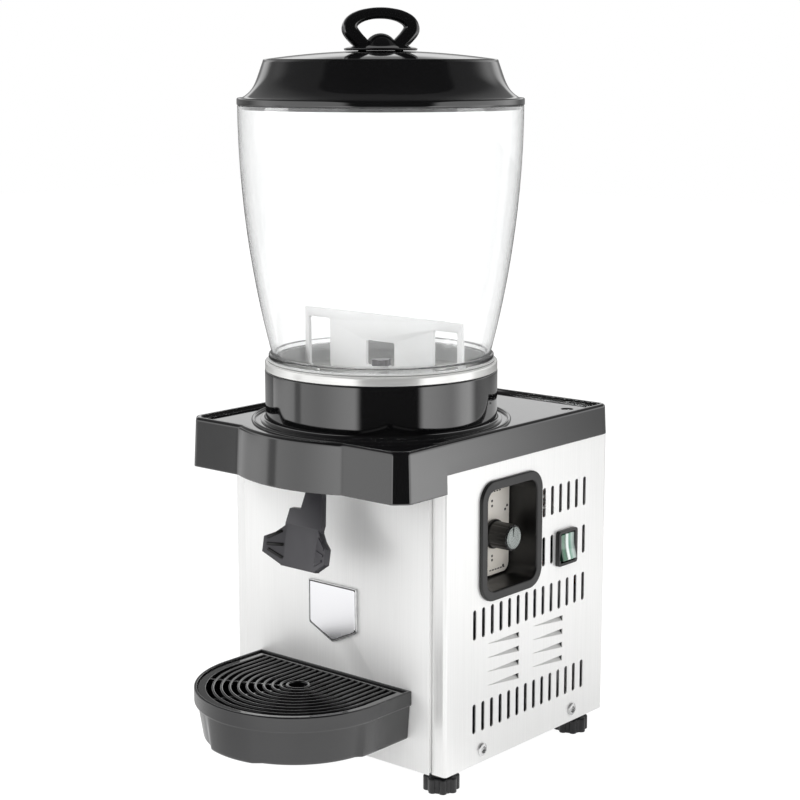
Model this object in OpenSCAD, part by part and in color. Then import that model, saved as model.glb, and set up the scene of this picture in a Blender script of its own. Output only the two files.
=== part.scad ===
// Refrigerated drink dispenser with one clear bowl, a push tap and a drip tray.
// Millimetres, +Z up, front toward -Y, control side toward +X.
// The origin is on the counter, midway between the tray's front and the cover's rear.

/* [Body] */
// Width across the side panels
body_w = 240; // [225:1:280]
// Depth of the side panels
body_d = 228; // [222:1:260]
// Height of the side panels
panel_h = 256; // [250:1:300]
// Thickness of the steel sheet
sheet = 1; // [0.8:0.1:1.4]
// Bend radius at a panel's corners
bend_r = 3; // [2:0.5:6]
// Width of the side panels' front flange
flange_w = 14; // [10:1:18]
// Width of the side panels' rear and top flanges
return_w = 12; // [9:1:14]
// How far the front panel stands ahead of the flanges
front_proud = 3.5; // [2:0.5:5]
// Depth of the front panel's side returns
front_return = 14; // [8:1:16]
// Thickness of the base plate
base_t = 1.2; // [1:0.1:2]
// Height of the base plate's side flanges
base_flange = 26; // [20:1:30]
// Play between pieces that lie in one another
play = 0.4; // [0.3:0.05:0.6]

/* [Feet] */
// Height of the body above the counter
foot_h = 20; // [18:1:30]
// Radius of a foot's pad, without its lobes
foot_r = 13; // [10:1:16]
// Radius of a grip lobe
lobe_r = 3.4; // [2:0.2:4]
// Number of grip lobes
lobes = 8; // [6:1:10]
// Distance of a foot from the body's faces
foot_inset = 20; // [18:1:26]
// Radius of a foot's stud
stud_r = 4; // [3:0.5:5]

/* [Vents] */
// Length of a vent slot
slot_len = 26; // [20:1:32]
// Width of a vent slot
slot_w = 4.4; // [2.5:0.1:5]
// Distance between vent slots
slot_pitch = 12; // [11:0.5:13]
// Number of slots in a row
slot_count = 14; // [10:1:14]
// First slot behind the panels' front
slot_start = 38.3; // [34:0.1:44]
// Height of the lowest row above the panel's foot
row_low = 40.7; // [38:0.1:44]
// Height of the second row above the panel's foot
row_two = 122.4; // [118:0.1:126]
// Height of the third row above the panel's foot
row_three = 165.8; // [162:0.1:170]
// Height of the highest row above the panel's foot
row_four = 209.3; // [205:0.1:214]
// Length of a louvre
louvre_len = 44.5; // [36:0.5:50]
// Height of a louvre
louvre_h = 5; // [4:0.5:7]
// Depth of a louvre at its open corner
louvre_deep = 4.5; // [3:0.5:6]
// Distance between louvres
louvre_pitch = 12.2; // [10:0.1:14]

/* [Top cover] */
// How far the cover stands beyond a side panel
cover_lip = 1; // [0.5:0.1:2]
// How far the cover reaches ahead of the front panel
cover_front = 53; // [48:1:60]
// How far the cover stands behind the body
cover_rear = 3.5; // [3:0.1:6]
// Height of the cover above the panels
cover_h = 27; // [25:1:34]
// How far the overhang hangs below the panels' top
nose_drop = 15.5; // [10:0.5:20]
// Radius of the rounded nose about the bowl
nose_r = 132; // [124:1:140]
// Corner radius
cover_corner = 10; // [6:1:16]
// Wall of the moulding
cover_wall = 3; // [2:0.1:3.2]
// Width of the raised edge
rim_w = 6; // [4:0.5:8]
// Height of the raised edge
rim_h = 3; // [2:0.5:4]
// Radius of the bead round the collar
bead_ring = 110; // [107:0.5:111]
// Radius of the bead's section
bead_r = 2; // [1:0.5:2.5]

/* [Cold cup] */
// Distance of the bowl's axis behind the front panel
bowl_set = 62.5; // [60:0.5:70]
// Outer radius of the collar
collar_r = 99.8; // [99:0.1:101]
// Wall of the collar
collar_wall = 3; // [2:0.1:3.2]
// Height of the collar above the cover
collar_h = 41; // [38:1:50]
// Height of the cup's steel rim
ring_h = 8; // [6:0.5:10]
// Thickness of the cup's wall
cup_wall = 1; // [0.8:0.1:1.4]
// Depth of the cup below the collar's edge
cup_deep = 36; // [34:1:38]
// Thickness of the cup's floor
floor_t = 1.2; // [1:0.1:1.5]
// Radius of the cooling tube
coil_r = 2.6; // [2:0.1:2.8]
// Radius of the first cooling turn
coil_in = 40; // [39:0.5:42]
// Distance between cooling turns
coil_pitch = 6.6; // [6.2:0.1:6.8]

/* [Bowl] */
// Radius of the bowl at its mouth
mouth_r = 120; // [116:1:124]
// Curve radius of the bowl's wall
wall_curve = 840; // [780:10:900]
// Wall of the bowl
bowl_wall = 2.5; // [2:0.1:3]
// Height of the bowl above the cup's rim
bowl_h = 214.6; // [205:0.2:220]
// Radius of the bowl's foot
bowl_foot_r = 92.5; // [92:0.1:93]
// Depth of the foot inside the cup
foot_deep = 19; // [15:1:22]
// Radius of the bead that rests on the seal
bowl_bead_r = 96.4; // [95:0.1:97]

/* [Lid] */
// Radius of the lid's rim
lid_r = 120.5; // [118:0.5:126]
// Height of the lid's rim
lid_rim = 6; // [4:0.5:8]
// Radius of the lid's top
lid_top_r = 98.3; // [94:0.1:102]
// Height of the flared side
lid_side = 31.3; // [28:0.1:36]
// Depth of the plug under the lid
plug_h = 3.5; // [3:0.5:9]
// Wall of the lid
lid_wall = 2.5; // [2:0.1:3]
// Round of the lid's upper edge
lid_round = 1.4; // [1:0.1:3]
// Rise of the lid's top
lid_rise = 7; // [4:0.5:9]
// Radius of the handle's flange
grip_flange_r = 31; // [26:1:36]
// Half width of the handle
grip_w = 33; // [28:1:38]
// Height of the handle above the lid
grip_h = 35.4; // [32:0.2:40]
// Thickness of the handle
grip_t = 11; // [8:0.5:14]
// Turn of the handle about the bowl
grip_turn = 55; // [0:1:90]

/* [Stirrer] */
// Half length of the paddle
paddle_l = 88.6; // [80:0.2:88.8]
// Thickness of the paddle
paddle_t = 3; // [2:0.5:4]
// Height of the paddle's top above the cup's floor
paddle_h = 82; // [70:1:90]
// Radius of the paddle's hub
hub_r = 9; // [8:0.5:11]
// Radius of the fixed spindle
spindle_r = 4; // [3:0.5:5]
// Radius of the two magnets
magnet_r = 22; // [18:1:23]

/* [Tap] */
// Distance of the spout ahead of the front panel
spout_out = 8.5; // [8:0.1:9]
// Radius of the spout
spout_r = 6.5; // [6:0.1:6.8]
// Half width of the lever's middle
lever_half = 20; // [18:0.5:22]
// Length of a lever wing
wing_w = 19.6; // [16:0.2:24]
// Forward bend of a wing
wing_turn = 24; // [10:1:30]
// Lean of the lever above its bend
lever_lean = 25; // [20:1:28]
// Lean of the lever below its bend
foot_lean = 11; // [6:1:16]
// Length of the lever above its bend
lever_bend = 30; // [28:1:33]
// Half width of the lever's neck
neck_half = 8; // [7:0.5:9]
// Thickness of the lever
lever_t = 5; // [4:0.1:5.4]
// Length of the leaning plate
lever_len = 66.2; // [62:0.2:70]
// Radius of the lever's pin
pin_r = 2.5; // [2:0.1:3]

/* [Drip tray] */
// Reach of the tray ahead of the front panel
tray_reach = 132; // [124:1:140]
// Half width of the tray
tray_half = 87; // [80:1:90]
// Height of the tray's rim above the counter
tray_top = 89.5; // [86:0.5:96]
// Depth of the tray
tray_deep = 43; // [40:1:46]
// Inward taper of the tray's foot
tray_taper = 3; // [1:0.5:5]
// Wall of the tray
tray_wall = 2.5; // [2:0.1:3]
// Distance between the grate's bars
bar_pitch = 7.1; // [6.5:0.1:7.6]
// Width of a grate bar
bar_w = 2.8; // [2:0.1:3.2]
// Radius of the ring at the grate's middle
ring_r = 9.2; // [8:0.1:10]
// Radius of the first grate bar
bar_first = 14.5; // [13:0.5:16]
// Number of grate bars
bar_count = 9; // [7:1:9]
// Thickness of the grate
grate_t = 5; // [4:0.5:6]

/* [Controls] */
// Width of the control bezel
bezel_w = 87; // [84:1:90]
// Height of the control bezel
bezel_h = 103; // [100:1:106]
// Width of the bezel's border
bezel_edge = 8.2; // [7:0.1:9]
// How far the bezel stands off the panel
bezel_proud = 3; // [2:0.5:4]
// Depth of the recess
recess = 27; // [25:1:29]
// Radius of the knob
knob_r = 11.3; // [10:0.1:13]
// Length of the knob
knob_len = 21.5; // [18:0.5:22]
// Width of the switch bezel
switch_w = 28; // [27:0.5:30]
// Height of the switch bezel
switch_h = 31.5; // [31:0.5:33]
// How far the switch bezel stands off the panel
switch_proud = 4; // [3:0.5:5]

/* [Hidden] */
$fn = 64;
eps = 0.02;
total_d = tray_reach + front_proud + body_d + cover_rear;
rear_y = total_d / 2;
body_rear = rear_y - cover_rear;
body_front = body_rear - body_d;
front_y = body_front - front_proud;
tray_front = front_y - tray_reach;
bowl_y = front_y + bowl_set;
cover_front_y = front_y - cover_front;
half_w = body_w / 2;
cover_half = half_w + cover_lip;
base_z = foot_h;
panel_top = base_z + panel_h;
cover_top = panel_top + cover_h;
deck_top = cover_top - rim_h;
deck_under = deck_top - cover_wall;
nose_z = panel_top - nose_drop;
support_t = 1.5;
support_top = panel_top + support_t;
collar_top = cover_top + collar_h;
collar_in = collar_r - collar_wall;
cup_out = collar_in - play;
cup_in = cup_out - cup_wall;
cup_floor = collar_top - cup_deep;
ring_top = collar_top + ring_h;
coil_z = cup_floor - floor_t - coil_r - 0.5;
coil_turns = 3;
coil_out = coil_in + coil_turns * coil_pitch;
block_top = coil_z - coil_r - play;
block_r = cup_in - 1.5;
seal_t = 0.9;
seat_z = ring_top + play + seal_t + 0.1;
bowl_top = ring_top + bowl_h;
foot_z = ring_top - foot_deep;
lid_z = bowl_top + play;
lid_side_z = lid_z + lid_rim;
lid_edge_z = lid_side_z + lid_side;
lid_crown_z = lid_edge_z + lid_round + lid_rise;
grip_z = lid_crown_z + 0.1;
grip_top = lid_crown_z + grip_h;
spout_y = front_y - spout_out;
pivot_y = spout_y - 18;
pivot_z = panel_top - 9;
plate_y = pivot_y + 2;
plate_z = pivot_z - 17;
function lean_way(l, a) = [-l * sin(a), -l * cos(a)];
knee = lean_way(lever_bend, lever_lean);
toe = knee + lean_way(lever_len - lever_bend, foot_lean);
rod_r = 2.4;
rod_collar_z = pivot_z + 4;
fp_half = half_w - flange_w - play;
base_half = half_w - sheet - 0.2;
base_front = body_front + sheet + 0.2;
base_rear = body_rear - sheet - 0.2;
foot_x = half_w - foot_inset;
foot_front = body_front + foot_inset;
foot_back = body_rear - foot_inset;
screw_z = base_z + 11.2;
side_screw_y = [body_front + 49.5, body_front + 180];
control_y = body_front + 87.5;
control_z = panel_top - 65.8;
knob_y = control_y + 6.5;
knob_z = control_z - 4.2;
recess_x = half_w - recess;
open_w = bezel_w - 2 * bezel_edge;
open_h = bezel_h - 2 * bezel_edge;
switch_y = body_front + 166;
switch_z = base_z + 164.4;
rocker_x = half_w + switch_proud - 5;
rocker_w = 18.2;
tray_y = tray_front + tray_half;
tray_back = front_y - 0.5;
tray_z = tray_top - tray_deep;
hook_x = 50;
hook_z = tray_z + 10.8;
hook_rise = 12.5;
ledge_z = tray_top - grate_t - 2;
grate_half = tray_half - tray_wall - 0.6;
grate_back = tray_back - tray_wall - 0.6;
comp_x = 70 - half_w;
comp_y = body_front + 148;
comp_z = base_z + base_t + 12.8;
fan_y = body_front + 92;
fan_z = base_z + 68;
cond_x = half_w - 24;
cond_front = body_front + 32;
cond_back = body_front + 188;
cond_z = base_z + 22;
cond_h = control_z - open_h / 2 - 16.9 - cond_z + 12;
cond_pitch = (cond_h - 24) / 5;
drier_y = body_front + 116;
drier_z = panel_top - 44;
gland_x = 70;
gland_z = base_z + 25;
rear_screw_x = half_w - 7;
rear_screw_z = [base_z + 16, base_z + panel_h / 2, base_z + panel_h - 16];

// Rectangle with rounded corners, centred
module rounded_rect(w, h, r) {
  square([w - 2 * r, h], center = true);
  square([w, h - 2 * r], center = true);
  for (sx = [-1, 1], sy = [-1, 1])
    translate([sx * (w / 2 - r), sy * (h / 2 - r)]) circle(r);
}

// Slot with round ends, standing along y
module slot_shape(len, w) {
  square([w, len - w], center = true);
  for (s = [-1, 1]) translate([0, s * (len - w) / 2]) circle(w / 2);
}

// Extrusion of a shape drawn in depth and height, from x0 outward
module across(x0, t) {
  translate([x0, 0, 0]) rotate([90, 0, 90]) linear_extrude(t) children();
}

// Round bar along x
module bar_x(x0, x1, y, z, r) {
  translate([x0, y, z]) rotate([0, 90, 0]) cylinder(h = x1 - x0, r = r);
}

// Round bar along y
module bar_y(y0, y1, x, z, r) {
  translate([x, y0, z]) rotate([-90, 0, 0]) cylinder(h = y1 - y0, r = r);
}

// Direction of a vector
function unit(v) = v / norm(v);

// Points of a run with each bend rounded
function soft_run(pts, bend) = concat([pts[0]],
    [for (i = [1 : len(pts) - 2]) for (t = [0 : 0.25 : 1])
        let (a = pts[i] + bend * unit(pts[i - 1] - pts[i]), b = pts[i] + bend * unit(pts[i + 1] - pts[i]))
        (1 - t) * (1 - t) * a + 2 * t * (1 - t) * pts[i] + t * t * b],
    [pts[len(pts) - 1]]);

// Directions along a run
function run_ways(pts) = [for (i = [0 : len(pts) - 1])
    unit(pts[min(i + 1, len(pts) - 1)] - pts[max(i - 1, 0)])];

// Wound tube from its ring centres and the two directions of each ring
module wound_tube(centres, side_a, side_b, r, sides) {
  n = len(centres);
  rings = [for (i = [0 : n - 1]) for (k = [0 : sides - 1])
      centres[i] + r * cos(360 * k / sides) * side_a[i] + r * sin(360 * k / sides) * side_b[i]];
  near = [for (i = [0 : n - 2]) for (k = [0 : sides - 1])
      [i * sides + k, i * sides + (k + 1) % sides, (i + 1) * sides + (k + 1) % sides]];
  far = [for (i = [0 : n - 2]) for (k = [0 : sides - 1])
      [i * sides + k, (i + 1) * sides + (k + 1) % sides, (i + 1) * sides + k]];
  start = [[for (k = [sides - 1 : -1 : 0]) k]];
  end = [[for (k = [0 : sides - 1]) (n - 1) * sides + k]];
  polyhedron(points = rings, faces = concat(near, far, start, end));
}

// Bent tube through a row of points
module tube_run(pts, r, bend) {
  run = soft_run(pts, bend);
  ways = run_ways(run);
  side = [for (w = ways) unit(cross(w, [0.31, 0.52, 0.8]))];
  wound_tube(run, side, [for (i = [0 : len(run) - 1]) cross(side[i], ways[i])], r, 8);
}

// Hole through a side panel
module side_hole(y, z, r) {
  bar_x(half_w - 2 * sheet - base_t - 2, half_w + 2, y, z, r);
}

// Vent slot row in depth and height
module slot_row(z, columns) {
  for (k = columns)
    translate([body_front + slot_start + k * slot_pitch, base_z + z]) slot_shape(slot_len, slot_w);
}

// Start and height of each louvre
function louvre_places() = [for (c = [0, 1], r = [0 : 3])
    [body_front + 55.8 + c * 64, base_z + 60.6 + r * louvre_pitch]];

// One louvre's flap, a corner of the sheet pressed in about its slanting fold
module louvre_flap(y, z) {
  y1 = y + louvre_len;
  top = z + louvre_h;
  fold = half_w - 0.15;
  thin = sheet - 0.3;
  polyhedron(
    [[fold, y - 0.5, top - 0.5], [fold, y1 - 0.3, z - 0.5], [half_w - louvre_deep, y1 - 0.3, top - 0.3],
      [fold - thin, y - 0.5, top - 0.5], [fold - thin, y1 - 0.3, z - 0.5],
      [half_w - louvre_deep - sheet, y1 - 0.3, top - 0.3]],
    [[0, 2, 1], [3, 4, 5], [2, 0, 3, 5], [1, 2, 5, 4], [0, 1, 4, 3]]);
}

// Folded side panel on the +X side, its openings given as children in depth and height
module side_sheet() {
  xb = half_w - bend_r;
  yf = body_front + bend_r;
  yr = body_rear - bend_r;
  difference() {
    union() {
      translate([0, 0, base_z]) linear_extrude(panel_h) {
        translate([half_w - sheet, yf]) square([sheet, yr - yf]);
        translate([half_w - flange_w, body_front]) square([flange_w - bend_r, sheet]);
        translate([half_w - return_w, body_rear - sheet]) square([return_w - bend_r, sheet]);
        intersection() {
          translate([xb, yf]) difference() {
            circle(bend_r);
            circle(bend_r - sheet);
          }
          translate([xb, body_front]) square(bend_r);
        }
        intersection() {
          translate([xb, yr]) difference() {
            circle(bend_r);
            circle(bend_r - sheet);
          }
          translate([xb, yr]) square(bend_r);
        }
      }
      translate([half_w - return_w, yf, panel_top - sheet]) cube([return_w - sheet / 2, yr - yf, sheet]);
    }
    across(half_w - sheet - 0.5, sheet + 1) children();
    across(half_w - sheet - 0.5, sheet + 1)
      for (p = louvre_places()) translate(p)
        polygon([[0, louvre_h], [louvre_len, 0], [louvre_len, louvre_h]]);
    for (y = side_screw_y) side_hole(y, screw_z, 2);
    for (z = rear_screw_z) bar_y(body_rear - 3, body_rear + 3, rear_screw_x, z, 1.9);
  }
  for (p = louvre_places()) louvre_flap(p[0], p[1]);
}

module base_plate() {
  color("silver") difference() {
    union() {
      translate([-base_half, base_front, base_z]) cube([2 * base_half, base_rear - base_front, base_t]);
      for (s = [0, 1]) mirror([s, 0, 0])
        translate([base_half - base_t, base_front + 8, base_z])
          cube([base_t, base_rear - base_front - 16, base_flange]);
      for (x = [-foot_x, foot_x], y = [foot_front, foot_back])
        translate([x, y, base_z + base_t / 2]) cylinder(h = base_t / 2 + 5.5, r = 7.5, $fn = 6);
    }
    for (x = [-foot_x, foot_x], y = [foot_front, foot_back])
      translate([x, y, base_z - 1]) cylinder(h = 12, r = stud_r + 0.08);
    for (s = [0, 1], y = side_screw_y) mirror([s, 0, 0]) side_hole(y, screw_z, 2);
  }
}

module front_panel() {
  color("gainsboro") difference() {
    union() {
      translate([-fp_half, front_y, base_z]) cube([2 * fp_half, sheet, panel_h - play]);
      for (s = [0, 1]) mirror([s, 0, 0])
        translate([fp_half - sheet, front_y, base_z + base_t + play])
          cube([sheet, front_return, panel_h - base_t - 2 * play]);
      translate([-fp_half, front_y, panel_top - play - sheet]) cube([2 * fp_half, front_return, sheet]);
    }
    for (s = [-1, 1])
      translate([s * hook_x - 7, front_y - 1, hook_z - 0.3]) cube([14, sheet + 2, hook_rise + 5.3]);
  }
}

module left_side_panel() {
  color("gainsboro") mirror([1, 0, 0]) side_sheet() {
    slot_row(row_low, [0 : slot_count - 1]);
    slot_row(row_two, [0 : slot_count - 1]);
  }
}

module right_side_panel() {
  color("gainsboro") side_sheet() {
    slot_row(row_low, [0 : slot_count - 1]);
    slot_row(row_two, [0 : slot_count - 1]);
    slot_row(row_three, [8, 9, 13]);
    slot_row(row_four, [8 : 13]);
    translate([control_y, control_z]) rounded_rect(open_w + 4 + play, open_h + 4 + play, 12);
    translate([switch_y, switch_z]) square([22.4, 28.4], center = true);
  }
}

module rear_panel() {
  color("silver") difference() {
    translate([-half_w + 3, body_rear, base_z + 4]) cube([body_w - 6, sheet, panel_h - 8]);
    for (k = [-6 : 6], z = [64, 110])
      translate([k * slot_pitch, body_rear + sheet + 1, base_z + z])
        rotate([90, 0, 0]) linear_extrude(sheet + 2) slot_shape(slot_len, slot_w);
    for (s = [-1, 1], z = rear_screw_z) bar_y(body_rear - 3, body_rear + 3, s * rear_screw_x, z, 1.9);
    bar_y(body_rear - 3, body_rear + 3, gland_x, gland_z, 7);
  }
}

module top_deck() {
  color("silver") difference() {
    union() {
      translate([-half_w + 2.6, base_front + 1, panel_top])
        cube([body_w - 5.2, base_rear - base_front - 2, support_t]);
      translate([-85, cover_front_y + 8, panel_top])
        cube([170, base_front - cover_front_y - 6, support_t]);
    }
    translate([0, bowl_y, panel_top - 1]) cylinder(h = 5, r = 12);
    translate([0, spout_y, panel_top - 1]) cylinder(h = 5, r = spout_r + play);
    for (r = [coil_in, coil_out])
      translate([0, bowl_y + r, panel_top - 1]) cylinder(h = 5, r = coil_r + 1);
    for (s = [-1, 1]) translate([s * 98.5, rear_y - 35, panel_top - 1]) cylinder(h = 5, r = 2.2);
  }
}

// Outline of the cover seen from above, drawn in by a margin
module cover_outline(inset) {
  translate([0, (cover_front_y + rear_y) / 2])
    rounded_rect(2 * (cover_half - inset), rear_y - cover_front_y - 2 * inset, max(cover_corner - inset, 2));
  intersection() {
    translate([0, bowl_y]) circle(nose_r - inset);
    translate([-70, bowl_y - nose_r - 1]) square([140, nose_r - bowl_y + cover_front_y + 21]);
  }
}

module top_cover() {
  color("dimgray") {
    difference() {
      union() {
        translate([0, 0, panel_top]) linear_extrude(cover_h) cover_outline(0);
        translate([0, 0, nose_z]) linear_extrude(nose_drop + 1) intersection() {
          cover_outline(0);
          translate([-cover_half - 1, rear_y - 400])
            square([2 * cover_half + 2, body_front - 0.3 - rear_y + 400]);
        }
      }
      difference() {
        translate([0, 0, nose_z - 1]) linear_extrude(deck_under - nose_z + 1) cover_outline(cover_wall);
        for (s = [-1, 1])
          translate([s * 98.5, rear_y - 35, support_top]) cylinder(h = cover_h, r = 6.5);
      }
      translate([0, 0, deck_top]) linear_extrude(rim_h + 1) cover_outline(rim_w);
      translate([0, bowl_y, deck_under - 1]) cylinder(h = 10, r = block_r + play);
      for (s = [-1, 1]) translate([s * 98.5, rear_y - 35, panel_top]) {
        cylinder(h = 40, r = 2.2);
        translate([0, 0, deck_top - 2.2 - panel_top]) cylinder(h = 10, r = 5.6);
      }
    }
    translate([0, bowl_y, deck_top]) rotate_extrude() intersection() {
      translate([bead_ring, 0]) circle(bead_r);
      translate([bead_ring - 5, -1]) square([10, 8]);
    }
  }
}

module bowl_collar() {
  color("dimgray") translate([0, bowl_y, 0]) rotate_extrude() polygon([
      [collar_in, deck_top], [collar_r + 2, deck_top], [collar_r + 2, deck_top + 1.5],
      [collar_r, deck_top + 3.5], [collar_r, collar_top - 1], [collar_r - 1, collar_top],
      [collar_in, collar_top]]);
}

module evaporator_cup() {
  color("lightgray") difference() {
    translate([0, bowl_y, 0]) rotate_extrude() polygon(concat(
        [[0, cup_floor - floor_t], [cup_out, cup_floor - floor_t], [cup_out, collar_top + 0.3],
          [collar_r - 0.2, collar_top + 0.3]],
        [for (a = [0 : 15 : 180])
            [(collar_r - 0.2 + cup_in) / 2 + (collar_r - 0.2 - cup_in) / 2 * cos(a),
             ring_top - 2.2 + 2.2 * sin(a)]],
        [[cup_in, cup_floor], [0, cup_floor]]));
    translate([0, spout_y, cup_floor - 5]) cylinder(h = 10, r = 4.8);
  }
}

module insulation_block() {
  color("wheat") difference() {
    translate([0, bowl_y, support_top]) cylinder(h = block_top - support_top, r = block_r);
    translate([0, bowl_y, support_top - 1]) cylinder(h = 60, r = magnet_r + 3);
    translate([0, spout_y, support_top - 1]) cylinder(h = 60, r = spout_r + play);
    for (r = [coil_in, coil_out])
      translate([0, bowl_y + r, support_top - 1]) cylinder(h = 60, r = coil_r + 1);
  }
}

module evaporator_coil() {
  steps = coil_turns * 24;
  turn = [for (i = [0 : steps]) 90 + 360 * i / 24];
  radius = [for (i = [0 : steps]) coil_in + coil_pitch * i / 24];
  echo(cooling_coil_gap = coil_pitch - 2 * coil_r);
  color("peru") union() {
    wound_tube([for (i = [0 : steps]) [radius[i] * cos(turn[i]), bowl_y + radius[i] * sin(turn[i]), coil_z]],
      [for (a = turn) [cos(a), sin(a), 0]], [for (a = turn) [0, 0, 1]], coil_r, 6);
    for (r = [coil_in, coil_out]) {
      translate([0, bowl_y + r, panel_top - 14]) cylinder(h = coil_z - panel_top + 14, r = coil_r);
      translate([0, bowl_y + r, coil_z]) sphere(coil_r);
    }
  }
}

module bowl_gasket() {
  seal_in = bowl_foot_r + 0.1;
  color("dimgray") translate([0, bowl_y, 0]) rotate_extrude() polygon([
      [seal_in, foot_z + 5], [cup_in - play, foot_z + 5], [cup_in - play, ring_top - 1],
      [seal_in + 1, ring_top + play], [bowl_bead_r, ring_top + play],
      [bowl_bead_r, ring_top + play + seal_t], [seal_in, ring_top + play + seal_t]]);
}

module bowl() {
  fall = [mouth_r - bowl_foot_r, bowl_top - seat_z];
  chord = norm(fall);
  sag = sqrt(pow(wall_curve, 2) - pow(chord / 2, 2));
  cx = (mouth_r + bowl_foot_r) / 2 - sag * fall[1] / chord;
  cz = (bowl_top + seat_z) / 2 + sag * fall[0] / chord;
  color("lightcyan", 0.4) translate([0, bowl_y, 0]) rotate_extrude() {
    intersection() {
      translate([cx, cz]) difference() {
        circle(wall_curve, $fn = 720);
        circle(wall_curve - bowl_wall, $fn = 720);
      }
      translate([bowl_foot_r - 12, seat_z]) square([mouth_r - bowl_foot_r + 30, bowl_top - seat_z]);
    }
    translate([bowl_foot_r - bowl_wall, foot_z]) square([bowl_wall, seat_z + 3 - foot_z]);
    translate([bowl_foot_r - bowl_wall, seat_z]) square([bowl_bead_r - bowl_foot_r + bowl_wall - 2, 4]);
    translate([bowl_bead_r - 2, seat_z + 2]) circle(2);
  }
}

// Half width of the lid's flared side at a share of its fall
function lid_flare(u) = lid_top_r + 10.5 * u + 7.5 * pow(u, 6);

// Outer outline of the lid's side and top, drawn in by a margin
function lid_skin(inset) = concat(
    [for (i = [12 : -1 : 0])
        [lid_flare(i / 12) - inset, lid_side_z + lid_side * (1 - i / 12) - inset * i / 12]],
    [for (a = [30 : 30 : 90])
        [lid_top_r - lid_round + (lid_round - inset) * cos(a), lid_edge_z + (lid_round - inset) * sin(a)]],
    [for (i = [6 : -1 : 0])
        [(lid_top_r - lid_round) * i / 7, lid_crown_z - lid_rise * pow(i / 7, 2) - inset]]);

module lid() {
  inner = lid_skin(lid_wall);
  n = len(inner);
  plug_r = mouth_r - bowl_wall - 0.8;
  color("dimgray") difference() {
    translate([0, bowl_y, 0]) rotate_extrude() polygon(concat(
        [[lid_r, lid_z], [lid_r, lid_side_z - 1.5], [lid_r - 1.5, lid_side_z]],
        lid_skin(0),
        [for (i = [n - 1 : -1 : 0]) inner[i]],
        [[plug_r - lid_wall, lid_z], [plug_r - lid_wall, lid_z - plug_h], [plug_r, lid_z - plug_h],
          [plug_r, lid_z]]));
    translate([0, bowl_y, lid_crown_z - 6]) cylinder(h = 10, r = 4.1);
  }
}

module lid_handle() {
  wide_z = grip_z + grip_h - 18.5;
  arc_out = (pow(grip_w, 2) + pow(grip_top - wide_z, 2)) / (2 * (grip_top - wide_z));
  in_w = grip_w - 11;
  in_top = grip_top - 7.4;
  arc_in = (pow(in_w, 2) + pow(in_top - wide_z, 2)) / (2 * (in_top - wide_z));
  color("dimgray") translate([0, bowl_y, 0]) rotate([0, 0, grip_turn]) {
    difference() {
      translate([0, grip_t / 2, 0]) rotate([90, 0, 0]) linear_extrude(grip_t) {
        intersection() {
          translate([0, grip_top - arc_out]) circle(arc_out);
          translate([-60, wide_z]) square([120, 60]);
        }
        polygon([[-grip_w, wide_z], [-grip_w + 11, grip_z + 1], [grip_w - 11, grip_z + 1], [grip_w, wide_z]]);
      }
      translate([0, 20, 0]) rotate([90, 0, 0]) linear_extrude(40) {
        intersection() {
          translate([0, in_top - arc_in]) circle(arc_in);
          translate([-60, wide_z]) square([120, 60]);
        }
        polygon([[-in_w, wide_z], [-in_w + 11, grip_z + 4], [in_w - 11, grip_z + 4], [in_w, wide_z]]);
      }
    }
    translate([0, 0, grip_z]) rotate_extrude() polygon([[0, 0], [grip_flange_r - 1, 0], [grip_flange_r, 1],
        [grip_flange_r - 1, 2.4], [grip_flange_r - 9, 4], [0, 4]]);
    intersection() {
      translate([0, 0, grip_z]) sphere(14.2);
      translate([-20, -20, grip_z + 1]) cube(40);
    }
    translate([0, 0, grip_z - 10]) cylinder(h = 12, r = 4);
    translate([0, 0, grip_z - 8]) cylinder(h = 5, r = 9, $fn = 6);
  }
}

module stirrer_paddle() {
  top = cup_floor + paddle_h;
  low = cup_floor + 10;
  color("whitesmoke") difference() {
    union() {
      translate([0, bowl_y + paddle_t / 2, 0]) rotate([90, 0, 0]) linear_extrude(paddle_t) difference() {
        polygon([[-paddle_l + 1, low], [-paddle_l, low + 20], [-paddle_l, top], [paddle_l, top],
            [paddle_l, low + 20], [paddle_l - 1, low]]);
        for (s = [-1, 1]) translate([s * (58.4 + paddle_l - 5) / 2, (low + 8 + top - 8) / 2])
            rounded_rect(paddle_l - 63.4, top - low - 16, 2);
        translate([0, cup_floor + 48]) rounded_rect(32, 22, 2);
      }
      translate([0, bowl_y, cup_floor + 0.5]) cylinder(h = 36.5, r = hub_r);
      translate([0, bowl_y, cup_floor + 0.5]) cylinder(h = 12, r = magnet_r + 3);
    }
    translate([0, bowl_y, cup_floor - 1]) cylinder(h = 60, r = spindle_r + 0.08);
    translate([0, bowl_y, cup_floor - 1]) difference() {
      cylinder(h = 10.5, r = magnet_r + 0.1);
      cylinder(h = 10.5, r = hub_r + 1.9);
    }
  }
}

module paddle_magnet() {
  color("dimgray") translate([0, bowl_y, cup_floor + 0.6]) difference() {
    cylinder(h = 8.8, r = magnet_r);
    translate([0, 0, -1]) cylinder(h = 12, r = hub_r + 2);
  }
}

module stirrer_spindle() {
  color("silver") translate([0, bowl_y, cup_floor + eps]) cylinder(h = 41, r = spindle_r);
}

module spindle_nut() {
  color("dimgray") translate([0, bowl_y, cup_floor + 37.5]) difference() {
    union() {
      cylinder(h = 6, r = 6.4);
      for (a = [0 : 60 : 300]) rotate([0, 0, a]) translate([6.4, 0, 0]) cylinder(h = 6, r = 2);
    }
    translate([0, 0, -1]) cylinder(h = 4.6, r = spindle_r + 0.02);
  }
}

module drive_magnet() {
  color("dimgray") translate([0, bowl_y, 0]) difference() {
    translate([0, 0, cup_floor - floor_t - 15]) cylinder(h = 13, r = magnet_r);
    translate([0, 0, support_top]) cylinder(h = cup_floor - floor_t - 5 - support_top, r = spindle_r + 0.02);
  }
}

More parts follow.
